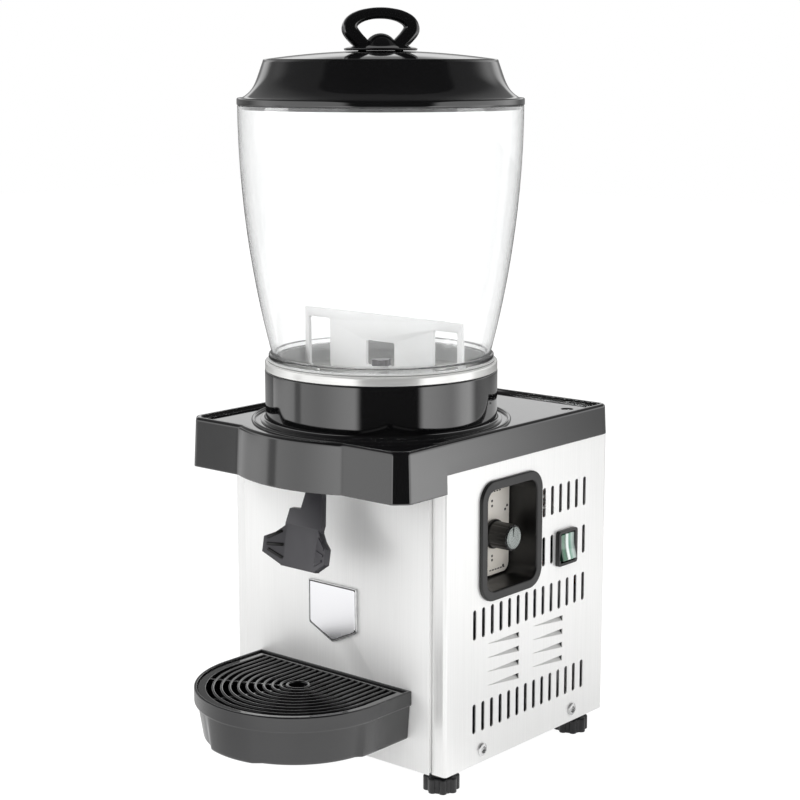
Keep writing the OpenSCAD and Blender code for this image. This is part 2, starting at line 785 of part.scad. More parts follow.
module motor_shaft() {
  color("silver") translate([0, bowl_y, panel_top - 13.5])
    cylinder(h = cup_floor - floor_t - 5.2 - panel_top + 13.5, r = spindle_r);
}

module stirrer_motor() {
  color("gray") translate([0, bowl_y, 0]) difference() {
    union() {
      translate([0, 0, panel_top - 30]) cylinder(h = 26, r = 34);
      translate([-26, -22, panel_top - 70]) cube([52, 44, 41]);
      translate([-48, -20, panel_top - 4]) cube([96, 40, 2]);
      for (x = [-42, 42], y = [-14, 14]) translate([x, y, panel_top - 3]) cylinder(h = 3, r = 4);
    }
    translate([0, 0, panel_top - 14]) cylinder(h = 20, r = spindle_r + 0.08);
  }
}

module control_box() {
  color("dimgray") difference() {
    union() {
      across(half_w + eps, bezel_proud) translate([control_y, control_z]) rounded_rect(bezel_w, bezel_h, 17);
      across(recess_x - 2, recess + 2.5)
        translate([control_y, control_z]) rounded_rect(open_w + 4, open_h + 4, 11.8);
    }
    across(recess_x, recess + 10) translate([control_y, control_z]) rounded_rect(open_w, open_h, 10);
    bar_x(recess_x - 5, recess_x + 5, knob_y, knob_z, 4.6);
  }
}

module dial_plate() {
  color("whitesmoke") difference() {
    across(recess_x + eps, 1) translate([control_y, control_z]) rounded_rect(open_w - 4, open_h - 4, 8);
    bar_x(recess_x - 5, recess_x + 5, knob_y, knob_z, 4.6);
  }
}

module thermostat_body() {
  color("lightgray") difference() {
    union() {
      translate([recess_x - 37, knob_y - 16, knob_z - 16]) cube([34.9, 32, 32]);
      bar_x(recess_x - 3, recess_x + 2, knob_y, knob_z, 4.4);
    }
    bar_x(recess_x - 24, recess_x + 5, knob_y, knob_z, 3.08);
  }
}

module thermostat_shaft() {
  color("silver") bar_x(recess_x - 23.6, recess_x + 18, knob_y, knob_z, 3);
}

module thermostat_knob() {
  x0 = recess_x + 2.6;
  color("lightgray") difference() {
    union() {
      bar_x(x0, x0 + knob_len, knob_y, knob_z, knob_r);
      bar_x(x0, x0 + 3, knob_y, knob_z, knob_r + 1.5);
    }
    bar_x(x0 - 1, recess_x + 18.2, knob_y, knob_z, 3.02);
    for (a = [0 : 30 : 330])
      translate([0, (knob_r + 0.5) * cos(a), (knob_r + 0.5) * sin(a)])
        bar_x(x0 + 4.5, x0 + knob_len + 1, knob_y, knob_z, 1.2);
  }
}

module knob_cap() {
  x0 = recess_x + 2.6 + knob_len + eps;
  color("gainsboro") union() {
    bar_x(x0, x0 + 1.2, knob_y, knob_z, knob_r - 1);
    translate([x0 + 1, knob_y - 1, knob_z + 1]) cube([0.8, 2, knob_r - 3]);
  }
}

module switch_housing() {
  color("dimgray") difference() {
    union() {
      across(half_w + eps, switch_proud) translate([switch_y, switch_z]) rounded_rect(switch_w, switch_h, 3);
      translate([half_w - 26, switch_y - 11, switch_z - 14]) cube([27, 22, 28]);
      for (z = [-8, 0, 8]) translate([half_w - 34, switch_y - 3, switch_z + z - 0.5]) cube([9, 6, 1]);
    }
    difference() {
      translate([rocker_x - 11.5, switch_y - rocker_w / 2 - 0.5, switch_z - 12.9])
        cube([40, rocker_w + 1, 25.8]);
      bar_y(switch_y - 12, switch_y + 12, rocker_x, switch_z, 1.5);
    }
  }
}

module rocker_button() {
  color("seagreen") translate([rocker_x, switch_y, switch_z]) rotate([0, -8, 0]) difference() {
    translate([0, rocker_w / 2, 0]) rotate([90, 0, 0]) linear_extrude(rocker_w)
      polygon([[-6, -7], [-6, 7], [0, 12], [5, 11.8], [4.2, 6], [3.8, 0], [4.2, -6], [5, -11.8], [0, -12]]);
    bar_y(-20, 20, 0, 0, 1.58);
  }
}

module switch_leads() {
  color("white") for (k = [0, 1]) {
    tube_run([[recess_x - 20, knob_y + 16.6, knob_z + 4 + 6 * k],
        [recess_x - 14, control_y + 48, control_z + 14 + 10 * k],
        [half_w - 4, body_front + 131, base_z + 204 + 10 * k],
        [half_w - 4, body_front + 149, base_z + 204 + 10 * k],
        [half_w - 42, switch_y - 2 + 5 * k, switch_z + 20],
        [half_w - 42, switch_y - 2 + 5 * k, switch_z + 8 - 8 * k],
        [half_w - 34.4, switch_y - 2 + 4 * k, switch_z + 8 - 8 * k]], 1.3, 3);
  }
}

module compressor() {
  color("dimgray") translate([comp_x, comp_y, comp_z]) union() {
    translate([0, 0, 2]) cylinder(h = 84, r = 56);
    intersection() {
      translate([0, 0, 51]) sphere(66);
      translate([-60, -60, 80]) cube([120, 120, 60]);
    }
    linear_extrude(3) rounded_rect(124, 96, 10);
    translate([22, 20, 100]) cylinder(h = 32, r = 4);
    translate([20, -30, 100]) cylinder(h = 34, r = 4);
  }
}

module compressor_grommets() {
  color("black") for (x = [-52, 52], y = [-38, 38])
    translate([comp_x + x, comp_y + y, base_z + base_t]) difference() {
      cylinder(h = 12.8 - eps, r = 8);
      translate([0, 0, -1]) cylinder(h = 20, r = 3.2);
    }
}

module relay_cover() {
  color("black") translate([comp_x - 22, comp_y - 84, comp_z + 34]) cube([44, 27.5, 46]);
}

module condenser() {
  fins = 13;
  step = (cond_back - cond_front - 1) / (fins - 1);
  color("silver") union() {
    for (i = [0 : fins - 1]) {
      drop = (i == 0 || i == fins - 1) ? cond_z - 12 - base_z - base_t : 0;
      translate([cond_x - 12, cond_front + i * step, cond_z - 12 - drop]) cube([24, 1, cond_h + drop]);
    }
    for (i = [0 : 5]) bar_y(cond_front - 4, cond_back + 2, cond_x, cond_z + i * cond_pitch, 4);
    for (i = [0 : 4])
      translate([cond_x, i % 2 == 0 ? cond_front - 4 : cond_back + 2, cond_z + (i + 0.5) * cond_pitch])
        rotate([0, 90, 0]) rotate([0, 0, i % 2 == 0 ? 180 : 0])
          rotate_extrude(angle = 180) translate([cond_pitch / 2, 0]) circle(4);
  }
}

module fan_shroud() {
  x0 = cond_x - 18;
  color("gray") difference() {
    union() {
      translate([x0, fan_y - 70, base_z + base_t]) cube([2, 140, 128]);
      bar_x(x0 - 40, x0 + 2, fan_y, fan_z, 59);
    }
    bar_x(x0 - 36, x0 + 3, fan_y, fan_z, 56.5);
    difference() {
      bar_x(x0 - 41, x0 + 3, fan_y, fan_z, 56.5);
      bar_x(x0 - 41, x0 + 3, fan_y, fan_z, 31);
      translate([x0 - 41, fan_y - 58, fan_z - 4]) cube([10, 116, 8]);
      translate([x0 - 41, fan_y - 4, fan_z - 58]) cube([10, 8, 116]);
    }
    bar_x(x0 - 41, x0 + 3, fan_y, fan_z, 26.4);
  }
}

module fan_motor() {
  x0 = cond_x - 18;
  color("dimgray") difference() {
    bar_x(x0 - 64, x0 - 34, fan_y, fan_z, 26);
    bar_x(x0 - 44, x0, fan_y, fan_z, 3.08);
  }
}

module fan_blade() {
  x0 = cond_x - 18;
  color("silver") union() {
    bar_x(x0 - 43.6, x0 - 8, fan_y, fan_z, 3);
    bar_x(x0 - 28, x0 - 8, fan_y, fan_z, 14);
    translate([x0 - 18, fan_y, fan_z]) for (a = [0 : 72 : 288]) rotate([a, 0, 0])
      translate([0, 0, 12]) rotate([0, 0, 35]) translate([-1, -14, 0]) cube([2, 28, 38]);
  }
}

module filter_drier() {
  color("peru") union() {
    bar_y(drier_y + 10, drier_y + 70, 20, drier_z, 9);
    for (y = [0, 65]) bar_y(drier_y + y, drier_y + y + 15, 20, drier_z, 4);
  }
}

module discharge_line() {
  color("peru") tube_run([[comp_x + 22, comp_y + 20, comp_z + 132.3], [comp_x + 22, comp_y + 20, comp_z + 172],
      [comp_x + 22, base_rear - 7, comp_z + 172], [cond_x, base_rear - 7, comp_z + 116],
      [cond_x, base_rear - 7, cond_z + 5 * cond_pitch],
      [cond_x, cond_back + 2.3, cond_z + 5 * cond_pitch]], 3, 6);
}

module liquid_line() {
  color("peru") tube_run([[20, drier_y + 80.3, drier_z], [20, base_rear - 14.5, drier_z],
      [60, base_rear - 14.5, drier_z - 7], [60, base_rear - 14.5, cond_z + 18],
      [cond_x, base_rear - 14.5, cond_z], [cond_x, cond_back + 2.3, cond_z]], 3, 8);
}

module capillary_tube() {
  color("peru") tube_run([[0, bowl_y + coil_in, panel_top - 14.3], [0, bowl_y + coil_in, drier_z],
      [20, drier_y - 10, drier_z], [20, drier_y - 0.3, drier_z]], 1.2, 4);
}

module suction_line() {
  color("peru") tube_run([[0, bowl_y + coil_out, panel_top - 14.3], [0, bowl_y + coil_out, comp_z + 162],
      [comp_x + 20, comp_y - 30, comp_z + 162], [comp_x + 20, comp_y - 30, comp_z + 134.3]], 3, 10);
}

module cable_gland() {
  color("black") difference() {
    union() {
      bar_y(body_rear - 8, body_rear + sheet + 1, gland_x, gland_z, 6.8);
      bar_y(body_rear + sheet + eps, body_rear + cover_rear, gland_x, gland_z, 10);
      translate([gland_x, body_rear - eps, gland_z]) rotate([90, 0, 0]) cylinder(h = 5, r = 11, $fn = 6);
    }
    bar_y(body_rear - 20, body_rear + 20, gland_x, gland_z, 4);
  }
}

// Folded side outline of the lever's plate
module lever_side() {
  upper = [cos(lever_lean), -sin(lever_lean)];
  lower = [cos(foot_lean), -sin(foot_lean)];
  polygon([[0, 0], knee, toe, toe + lever_t * lower,
      knee + lever_t * (upper + lower) / (1 + upper * lower), lever_t * upper]);
}

// Front outline of the lever's plate: a step on one side and a slant on the other
module lever_front() {
  step_z = -16.6 * cos(lever_lean);
  polygon([[-neck_half, 5], [-neck_half, step_z], [-lever_half, step_z - 0.8], [-lever_half, toe[1] - 9],
      [lever_half, toe[1] - 9], [lever_half, knee[1] + 2], [neck_half + 2, 0], [neck_half + 2, 5]]);
}

// One wing of the lever with its three rays, on the +X side
module lever_wing() {
  fall = lever_len - lever_bend;
  translate([lever_half - 0.8, lever_t - 0.6, 0]) rotate([0, 0, -wing_turn]) {
    rotate([90, 0, 0]) linear_extrude(lever_t) polygon([[-1.2, -0.8], [0.7, -1], [4, -4], [9.8, -8.9],
        [wing_w, -13.9], [wing_w, 9.4 - fall], [1.5, 0.5 - fall], [-1.2, 0.7 - fall]]);
    for (ray = [[3.5, -8, 30], [1.5, -19.5, 5], [1.5, -30.5, -22]])
      translate([ray[0], -lever_t - 0.9, ray[1]]) rotate([0, ray[2], 0]) cube([wing_w - 5, 1.3, 2]);
  }
}

module tap_lever() {
  color("dimgray") difference() {
    union() {
      translate([0, plate_y, plate_z]) {
        intersection() {
          translate([-30, 0, 0]) rotate([90, 0, 90]) linear_extrude(60) lever_side();
          translate([0, 30, 0]) rotate([90, 0, 0]) linear_extrude(80) lever_front();
        }
        translate([0, knee[0], knee[1]]) rotate([-foot_lean, 0, 0]) {
          lever_wing();
          mirror([1, 0, 0]) lever_wing();
        }
      }
      translate([-6.5, plate_y + 0.2, plate_z - 3]) cube([13, 4, 19]);
      bar_x(-8, 8, pivot_y, pivot_z, 5.2);
      translate([-3.4, pivot_y, pivot_z + 0.6]) cube([6.8, spout_y - rod_r - 0.5 - pivot_y, 3]);
    }
    bar_x(-20, 20, pivot_y, pivot_z, pin_r + 0.06);
  }
}

module lever_pin() {
  color("silver") bar_x(-18, 18, pivot_y, pivot_z, pin_r);
}

module tap_bracket() {
  color("silver") difference() {
    union() {
      for (s = [-1, 1]) translate([s * 15.2 - 1, pivot_y - 8, pivot_z - 7]) cube([2, 16, 16 - eps]);
      translate([-20, pivot_y - 10, panel_top - 1.5 - eps]) cube([40, 34, 1.5]);
    }
    bar_x(-30, 30, pivot_y, pivot_z, pin_r + 0.02);
    translate([0, spout_y, panel_top - 5]) cylinder(h = 10, r = spout_r + play);
    translate([-4.6, pivot_y - 1, panel_top - 5]) cube([9.2, 18, 10]);
  }
}

module tap_spout() {
  top = cup_floor - floor_t - 0.3;
  color("dimgray") difference() {
    union() {
      translate([0, spout_y, pivot_z - 27]) cylinder(h = top - pivot_z + 27, r = spout_r);
      translate([0, spout_y, top - 2.4]) cylinder(h = 2.4, r = spout_r + 2.5);
    }
    translate([0, spout_y, pivot_z - 30]) cylinder(h = 100, r = spout_r - 1.7);
    translate([-4.3, spout_y - 10, pivot_z - 3]) cube([8.6, 10, 16]);
  }
}

module valve_plunger() {
  color("gainsboro") translate([0, spout_y, 0]) union() {
    translate([0, 0, pivot_z - 3]) cylinder(h = cup_floor + 1 - pivot_z + 3, r = rod_r);
    translate([0, 0, rod_collar_z]) cylinder(h = 2, r = spout_r - 2.3);
    translate([0, 0, cup_floor + 0.3]) cylinder(h = 3.5, r = 8);
  }
}

module lever_spring() {
  turns = 3;
  steps = turns * 16;
  pitch = 1.5;
  wire = 0.45;
  mean = pin_r + 1.5;
  x0 = 9;
  turn = [for (i = [0 : steps]) 90 + 360 * i / 16];
  echo(lever_spring_gap = pitch - 2 * wire);
  color("silver") wound_tube(concat(
      [[x0, pivot_y + 7, pivot_z + mean]],
      [for (i = [0 : steps])
          [x0 + pitch * i / 16, pivot_y + mean * cos(turn[i]), pivot_z + mean * sin(turn[i])]],
      [[x0 + pitch * turns, pivot_y - 7, pivot_z + mean]]),
    concat([[0, 0, 1]], [for (a = turn) [0, cos(a), sin(a)]], [[0, 0, 1]]),
    [for (i = [0 : steps + 2]) [-1, 0, 0]], wire, 6);
}

// U-shaped outline of the tray: a half circle in front and straight sides to a back line
module u_shape(r, back) {
  intersection() {
    translate([0, tray_y]) circle(r);
    translate([-r - 1, tray_y - r - 1]) square([2 * r + 2, r + 1]);
  }
  translate([-r, tray_y]) square([2 * r, back - tray_y]);
}

// Tapering block of the tray, drawn in by a margin
module tray_block(inset, z0, z1) {
  share = (tray_top - z0) / tray_deep;
  hull() {
    translate([0, 0, z1 - 0.01]) linear_extrude(0.01)
      u_shape(tray_half - 1 - inset, tray_back - inset, $fn = 72);
    translate([0, 0, z0]) linear_extrude(0.01)
      u_shape(tray_half - 1 - inset - tray_taper * share, tray_back - inset, $fn = 72);
  }
}

module drip_tray() {
  color("dimgray") union() {
    difference() {
      union() {
        tray_block(0, tray_z, tray_top);
        translate([0, 0, tray_top - 13]) linear_extrude(13) u_shape(tray_half, tray_back);
      }
      tray_block(tray_wall, tray_z + tray_wall, ledge_z);
      translate([0, 0, ledge_z - 2]) linear_extrude(20)
        u_shape(tray_half - tray_wall - 3, tray_back - tray_wall - 3);
      translate([0, 0, ledge_z]) linear_extrude(20)
        u_shape(tray_half - tray_wall, tray_back - tray_wall);
      for (s = [0, 1]) mirror([s, 0, 0]) translate([0, tray_y, 0])
        rotate([0, 0, -74]) rotate_extrude(angle = 65) polygon([
            [tray_half - tray_taper - 4.5, tray_z - 1], [tray_half + 5, tray_z - 1],
            [tray_half + 5, tray_top - 14], [tray_half - 1.2, tray_top - 14]]);
    }
    for (s = [-1, 1]) translate([s * hook_x - 6, 0, 0]) {
      translate([0, tray_back - 1, hook_z]) cube([12, front_y + sheet + 4.3 - tray_back, 3.7]);
      translate([0, front_y + sheet + 0.5, hook_z - 12]) cube([12, 2.8, 15.7]);
    }
  }
}

module drip_grate() {
  z0 = ledge_z + 0.3;
  back = grate_back;
  color("gray") union() {
    translate([0, 0, z0]) linear_extrude(grate_t) {
      for (i = [0 : bar_count - 1]) difference() {
        u_shape(bar_first + i * bar_pitch + bar_w / 2, back - 2);
        u_shape(bar_first + i * bar_pitch - bar_w / 2, back + 2);
      }
      translate([0, tray_y]) difference() {
        circle(ring_r + bar_w / 2);
        circle(ring_r - bar_w / 2);
      }
      for (x = [-1, 0, 1] * (bar_first - bar_pitch)) {
        y0 = tray_y + sqrt(pow(ring_r, 2) - pow(x, 2));
        translate([x - bar_w / 2, y0]) square([bar_w, back - 2 - y0]);
      }
      difference() {
        u_shape(grate_half, back);
        u_shape(bar_first + bar_count * bar_pitch - bar_w / 2, back - 4);
      }
    }
    translate([0, 0, z0]) linear_extrude(grate_t - 2.5) {
      for (a = [-155, -115, -65, -25]) translate([0, tray_y]) rotate([0, 0, a])
        translate([ring_r, -1.2]) square([grate_half - ring_r - 3, 2.4]);
      for (y = [tray_y + 12, (tray_y + back) / 2 + 6])
        translate([0, y]) square([2 * grate_half - 6, 2.4], center = true);
    }
  }
}

// One levelling foot with its stud
module level_foot(x, y) {
  color("black") translate([x, y, 0]) union() {
    linear_extrude(13) {
      circle(foot_r);
      for (k = [0 : lobes - 1]) rotate([0, 0, 360 * k / lobes]) translate([foot_r - 1, 0]) circle(lobe_r);
    }
    cylinder(h = foot_h - 0.4, r = 9);
    cylinder(h = foot_h + 10, r = stud_r);
  }
}

module foot_front_left() { level_foot(-foot_x, foot_front); }
module foot_front_right() { level_foot(foot_x, foot_front); }
module foot_rear_left() { level_foot(-foot_x, foot_back); }
module foot_rear_right() { level_foot(foot_x, foot_back); }

module side_panel_screws() {
  color("silver") for (s = [0, 1], y = side_screw_y) mirror([s, 0, 0]) union() {
    bar_x(half_w + eps, half_w + 2, y, screw_z, 5.6);
    bar_x(half_w - 8, half_w + 1, y, screw_z, 1.9);
  }
}

module cover_screws() {
  color("silver") for (s = [-1, 1]) translate([s * 98.5, rear_y - 35, 0]) union() {
    translate([0, 0, deck_top - 2.2 + eps]) cylinder(h = 1.8, r = 4.6);
    translate([0, 0, panel_top - 4]) cylinder(h = deck_top - panel_top + 2.5, r = 2.1);
  }
}

module rear_panel_screws() {
  color("silver") for (s = [-1, 1], z = rear_screw_z) union() {
    bar_y(body_rear + sheet + eps, body_rear + sheet + 2, s * rear_screw_x, z, 4);
    bar_y(body_rear - 6, body_rear + sheet + 1, s * rear_screw_x, z, 1.8);
  }
}

base_plate();
front_panel();
left_side_panel();
right_side_panel();
rear_panel();
top_deck();
top_cover();
bowl_collar();
evaporator_cup();
insulation_block();
evaporator_coil();
bowl_gasket();
bowl();
lid();
lid_handle();
stirrer_paddle();
paddle_magnet();
stirrer_spindle();
spindle_nut();
drive_magnet();
motor_shaft();
stirrer_motor();
control_box();
dial_plate();
thermostat_body();
thermostat_shaft();
thermostat_knob();
knob_cap();
switch_housing();
rocker_button();
switch_leads();
compressor();
compressor_grommets();
relay_cover();
condenser();
fan_shroud();
fan_motor();
fan_blade();
filter_drier();
discharge_line();
liquid_line();
capillary_tube();
suction_line();
cable_gland();
tap_lever();
lever_pin();
tap_bracket();
tap_spout();
valve_plunger();
lever_spring();
drip_tray();
drip_grate();
foot_front_left();
foot_front_right();
foot_rear_left();
foot_rear_right();
side_panel_screws();
cover_screws();
rear_panel_screws();
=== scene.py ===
import math
import bmesh
import bpy
import numpy as np
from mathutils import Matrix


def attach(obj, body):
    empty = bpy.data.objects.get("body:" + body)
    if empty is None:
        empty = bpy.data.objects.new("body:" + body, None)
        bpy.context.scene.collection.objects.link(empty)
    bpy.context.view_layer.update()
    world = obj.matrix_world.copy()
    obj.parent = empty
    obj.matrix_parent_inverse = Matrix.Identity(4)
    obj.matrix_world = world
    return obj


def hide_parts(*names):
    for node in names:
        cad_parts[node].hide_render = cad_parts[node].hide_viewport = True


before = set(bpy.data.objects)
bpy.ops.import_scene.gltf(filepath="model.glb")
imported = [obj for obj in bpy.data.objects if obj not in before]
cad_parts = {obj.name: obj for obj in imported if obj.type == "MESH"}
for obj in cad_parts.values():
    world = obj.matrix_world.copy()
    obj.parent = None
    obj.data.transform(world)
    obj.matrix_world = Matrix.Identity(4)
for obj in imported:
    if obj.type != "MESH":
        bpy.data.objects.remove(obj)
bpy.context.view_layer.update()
scene = bpy.context.scene
mm = 0.001
bowlY = 11.0  # the bowl's axis stands at x 0, this far along y
sharpAngle = math.radians(34)  # edges that bend more than this stay crisp
print("frame:", len(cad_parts), "nodes")


# surface tools, all in millimetres

# quads between the rows of a grid whose columns close into a ring
def gridFaces(rows, cols):
    r = np.arange(rows - 1)[:, None]
    c = np.arange(cols)[None, :]
    d = (c + 1) % cols
    quads = np.stack([r * cols + c, r * cols + d, (r + 1) * cols + d, (r + 1) * cols + c], axis=-1)
    return quads.reshape(-1, 4).tolist()


# skin over closed outlines of equal count, with a fan to the middle of either end
def skin(rows, startCap=False, endCap=False):
    grid = np.asarray(rows, float)
    k, n = grid.shape[:2]
    verts = grid.reshape(-1, 3)
    faces = gridFaces(k, n)
    ring = np.arange(n)
    for wanted, first in ((startCap, 0), (endCap, (k - 1) * n)):
        if wanted:
            middle = np.full(n, len(verts))
            verts = np.vstack([verts, grid.reshape(-1, 3)[first:first + n].mean(axis=0)])
            faces += np.stack([first + ring, first + (ring + 1) % n, middle], axis=-1).tolist()
    return verts, faces


# turned shape: every profile point (radius, height) carried round a standing axis
def turned(profile, x=0.0, y=bowlY, steps=144):
    p = np.asarray(profile, float)
    a = np.linspace(0, 2 * np.pi, steps, endpoint=False)
    rows = np.stack([x + p[:, :1] * np.cos(a), y + p[:, :1] * np.sin(a), p[:, 1:] + 0 * a], axis=-1)
    return skin(rows)


# open line whose corners are cut back by a length and bent through with a quadratic curve;
# a point just before and after each bend keeps the flats flat when they are shaded smooth
def softLine(points, cuts, steps=6):
    p = np.asarray(points, float)
    a, b, c = p[:-2] - p[1:-1], p[1:-1], p[2:] - p[1:-1]
    la = np.linalg.norm(a, axis=1, keepdims=True)
    lc = np.linalg.norm(c, axis=1, keepdims=True)
    shorter = np.minimum(la, lc)
    cut = np.minimum(np.ones((len(b), 1)) * np.asarray(cuts, float).reshape(-1, 1), 0.49 * shorter)
    hold = np.minimum(cut * 1.3, 0.498 * shorter)
    t = np.linspace(0, 1, steps + 1)[None, :, None]
    start, end = (b + a / la * cut)[:, None], (b + c / lc * cut)[:, None]
    before, after = (b + a / la * hold)[:, None], (b + c / lc * hold)[:, None]
    bend = (1 - t) ** 2 * start + 2 * t * (1 - t) * b[:, None] + t ** 2 * end
    bend = np.concatenate([before, bend, after], axis=1)
    return np.vstack([p[:1], bend.reshape(-1, p.shape[1]), p[-1:]])


# rectangle with round corners about the origin, the same number of points at any size
def roundRect(w, h, r, steps=9):
    a = np.linspace(0, np.pi / 2, steps)
    turns = a[None, :] + np.arange(4)[:, None] * np.pi / 2
    sx, sy = np.array([1, -1, -1, 1])[:, None], np.array([1, 1, -1, -1])[:, None]
    x = sx * (w / 2 - r) + r * np.cos(turns)
    y = sy * (h / 2 - r) + r * np.sin(turns)
    return np.stack([x, y], axis=-1).reshape(-1, 2)


# section carried along a path: each point has its own two directions and its own stretch of the section
def swept(path, side, up, section, stretch=None, ring=False):
    path, section = np.asarray(path, float), np.asarray(section, float)
    side, up = np.asarray(side, float), np.asarray(up, float)
    s = np.ones((len(path), 2)) if stretch is None else np.asarray(stretch, float)
    sideways = (section[None, :, :1] * s[:, None, :1]) * side[:, None]
    upward = (section[None, :, 1:] * s[:, None, 1:]) * up[:, None]
    rows = path[:, None] + sideways + upward
    if ring:
        rows = np.concatenate([rows, rows[:1]])
    return skin(rows, not ring, not ring)


# box with eased edges between two corners
def easedBox(low, high, ease):
    low, high = np.asarray(low, float), np.asarray(high, float)
    mid, size = (low + high) / 2, high - low
    rows = []
    for inset, z in ((ease, low[2]), (0, low[2] + ease), (0, high[2] - ease), (ease, high[2])):
        flat = roundRect(size[0] - 2 * inset, size[1] - 2 * inset, max(ease - inset, 0.05), 3) + mid[:2]
        rows.append(np.column_stack([flat, np.full(len(flat), z)]))
    return skin(rows, True, True)


# a shape made about a standing axis at the origin, laid along +x and moved to its place
def layAlongX(part, place):
    verts, faces = part
    return verts[:, [2, 0, 1]] + np.asarray(place, float), faces


# the same for +y, seen from behind
def layAlongY(part, place):
    verts, faces = part
    return verts[:, [0, 2, 1]] * (-1, 1, 1) + np.asarray(place, float), faces


def mirrorX(part):
    verts, faces = part
    return verts * np.array([-1, 1, 1]), [f[::-1] for f in faces]


# points turned in the plane of two axes by an angle in degrees
def turnIn(verts, i, j, angle):
    s, c = math.sin(math.radians(angle)), math.cos(math.radians(angle))
    out = verts.copy()
    out[:, i] = verts[:, i] * c - verts[:, j] * s
    out[:, j] = verts[:, i] * s + verts[:, j] * c
    return out


# mesh in metres from several surfaces: doubles merged, faces outward
def meshFrom(name, parts):
    counts = np.cumsum([0] + [len(v) for v, f in parts])
    verts = np.vstack([v for v, f in parts]) * mm
    faces = [[i + start for i in face] for (v, f), start in zip(parts, counts) for face in f]
    mesh = bpy.data.meshes.new(name)
    mesh.from_pydata(verts.tolist(), [], faces)
    work = bmesh.new()
    work.from_mesh(mesh)
    bmesh.ops.remove_doubles(work, verts=work.verts, dist=3e-6)
    bmesh.ops.dissolve_degenerate(work, edges=work.edges, dist=1e-7)
    bmesh.ops.recalc_face_normals(work, faces=work.faces)
    work.to_mesh(mesh)
    work.free()
    return mesh


# a piece rides on its body and stands for its nodes, which are hidden
def settle(piece, body, nodes):
    scene.collection.objects.link(piece)
    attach(piece, body)
    if nodes:
        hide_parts(*nodes)
    return piece


# one object from several surfaces
def makePiece(name, parts, material, body, nodes=()):
    mesh = meshFrom(name, parts)
    mesh.shade_smooth()
    mesh.set_sharp_from_angle(angle=sharpAngle)
    mesh.materials.append(material)
    return settle(bpy.data.objects.new(name, mesh), body, nodes)


# copy of a CAD node with its loose triangles merged and its edges eased by a bevel
def easedNode(name, node, material, body, width, segments=2):
    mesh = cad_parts[node].data.copy()
    mesh.name = name
    work = bmesh.new()
    work.from_mesh(mesh)
    bmesh.ops.remove_doubles(work, verts=work.verts, dist=2e-6)
    bmesh.ops.dissolve_limit(work, angle_limit=math.radians(1), verts=work.verts, edges=work.edges)
    work.to_mesh(mesh)
    work.free()
    mesh.materials.clear()
    mesh.materials.append(material)
    mesh.shade_smooth()
    piece = bpy.data.objects.new(name, mesh)
    bevel = piece.modifiers.new("edge", "BEVEL")
    bevel.width, bevel.segments = width * mm, segments
    bevel.limit_method, bevel.angle_limit = "ANGLE", math.radians(50)
    bevel.harden_normals = True
    return settle(piece, body, [node])


# takes closed cutters out of a piece for good
def cutOut(piece, parts):
    cutter = bpy.data.objects.new("cutter", meshFrom("cutter", parts))
    scene.collection.objects.link(cutter)
    cut = piece.modifiers.new("cut", "BOOLEAN")
    cut.object, cut.operation, cut.solver = cutter, "DIFFERENCE", "EXACT"
    graph = bpy.context.evaluated_depsgraph_get()
    done = bpy.data.meshes.new_from_object(piece.evaluated_get(graph))
    piece.modifiers.clear()
    piece.data = done
    done.set_sharp_from_angle(angle=sharpAngle)
    bpy.data.objects.remove(cutter)


# materials

# sRGB hex to the linear colour that a socket takes
def linear(hexText, alpha=1.0):
    c = np.array([int(hexText[i:i + 2], 16) for i in (1, 3, 5)]) / 255
    c = np.where(c <= 0.04045, c / 12.92, ((c + 0.055) / 1.055) ** 2.4)
    return (*c.tolist(), alpha)


# adds a node: settings are attributes, inputs are values, nodes or (node, output) pairs
def addNode(tree, kind, settings={}, inputs={}):
    node = tree.nodes.new(kind)
    for key, value in settings.items():
        setattr(node, key, value)
    for key, value in inputs.items():
        source = value if isinstance(value, tuple) else (value, 0)
        if isinstance(source[0], bpy.types.Node):
            tree.links.new(source[0].outputs[source[1]], node.inputs[key])
        else:
            node.inputs[key].default_value = value
    return node


# empty material with its shader and the object's own coordinates
def startMaterial(name, inputs):
    material = bpy.data.materials.new(name)
    material.use_nodes = True
    tree = material.node_tree
    shader = tree.nodes["Principled BSDF"]
    for key, value in inputs.items():
        shader.inputs[key].default_value = value
    return material, tree, shader, addNode(tree, "ShaderNodeTexCoord")


# noise of a given real size in mm, stretched along the axes
def grain(tree, coords, size, detail=2.0, roughness=0.5):
    scale = tuple(1 / (s * mm) for s in size)
    place = addNode(tree, "ShaderNodeMapping", {}, {"Vector": (coords, "Object"), "Scale": scale})
    return addNode(tree, "ShaderNodeTexNoise", {}, {"Vector": place, "Scale": 1.0, "Detail": detail,
                                                    "Roughness": roughness})


# two close colours over a noise, a roughness range over another and a bump from a third
def dress(tree, shader, colours, tone, rough, wear, bump, height):
    ramp = addNode(tree, "ShaderNodeValToRGB", {}, {"Fac": (tone, "Fac")})
    for stop, position, colour in zip(ramp.color_ramp.elements, (0.3, 0.7), colours):
        stop.position, stop.color = position, linear(colour)
    tree.links.new(ramp.outputs["Color"], shader.inputs["Base Color"])
    span = addNode(tree, "ShaderNodeMapRange", {}, {"Value": (wear, "Fac"), "From Min": 0.3, "From Max": 0.7,
                                                    "To Min": rough[0], "To Max": rough[1]})
    tree.links.new(span.outputs["Result"], shader.inputs["Roughness"])
    rise = addNode(tree, "ShaderNodeBump", {}, {"Height": (bump, "Fac"), "Strength": height[0],
                                                "Distance": height[1] * mm})
    tree.links.new(rise.outputs["Normal"], shader.inputs["Normal"])


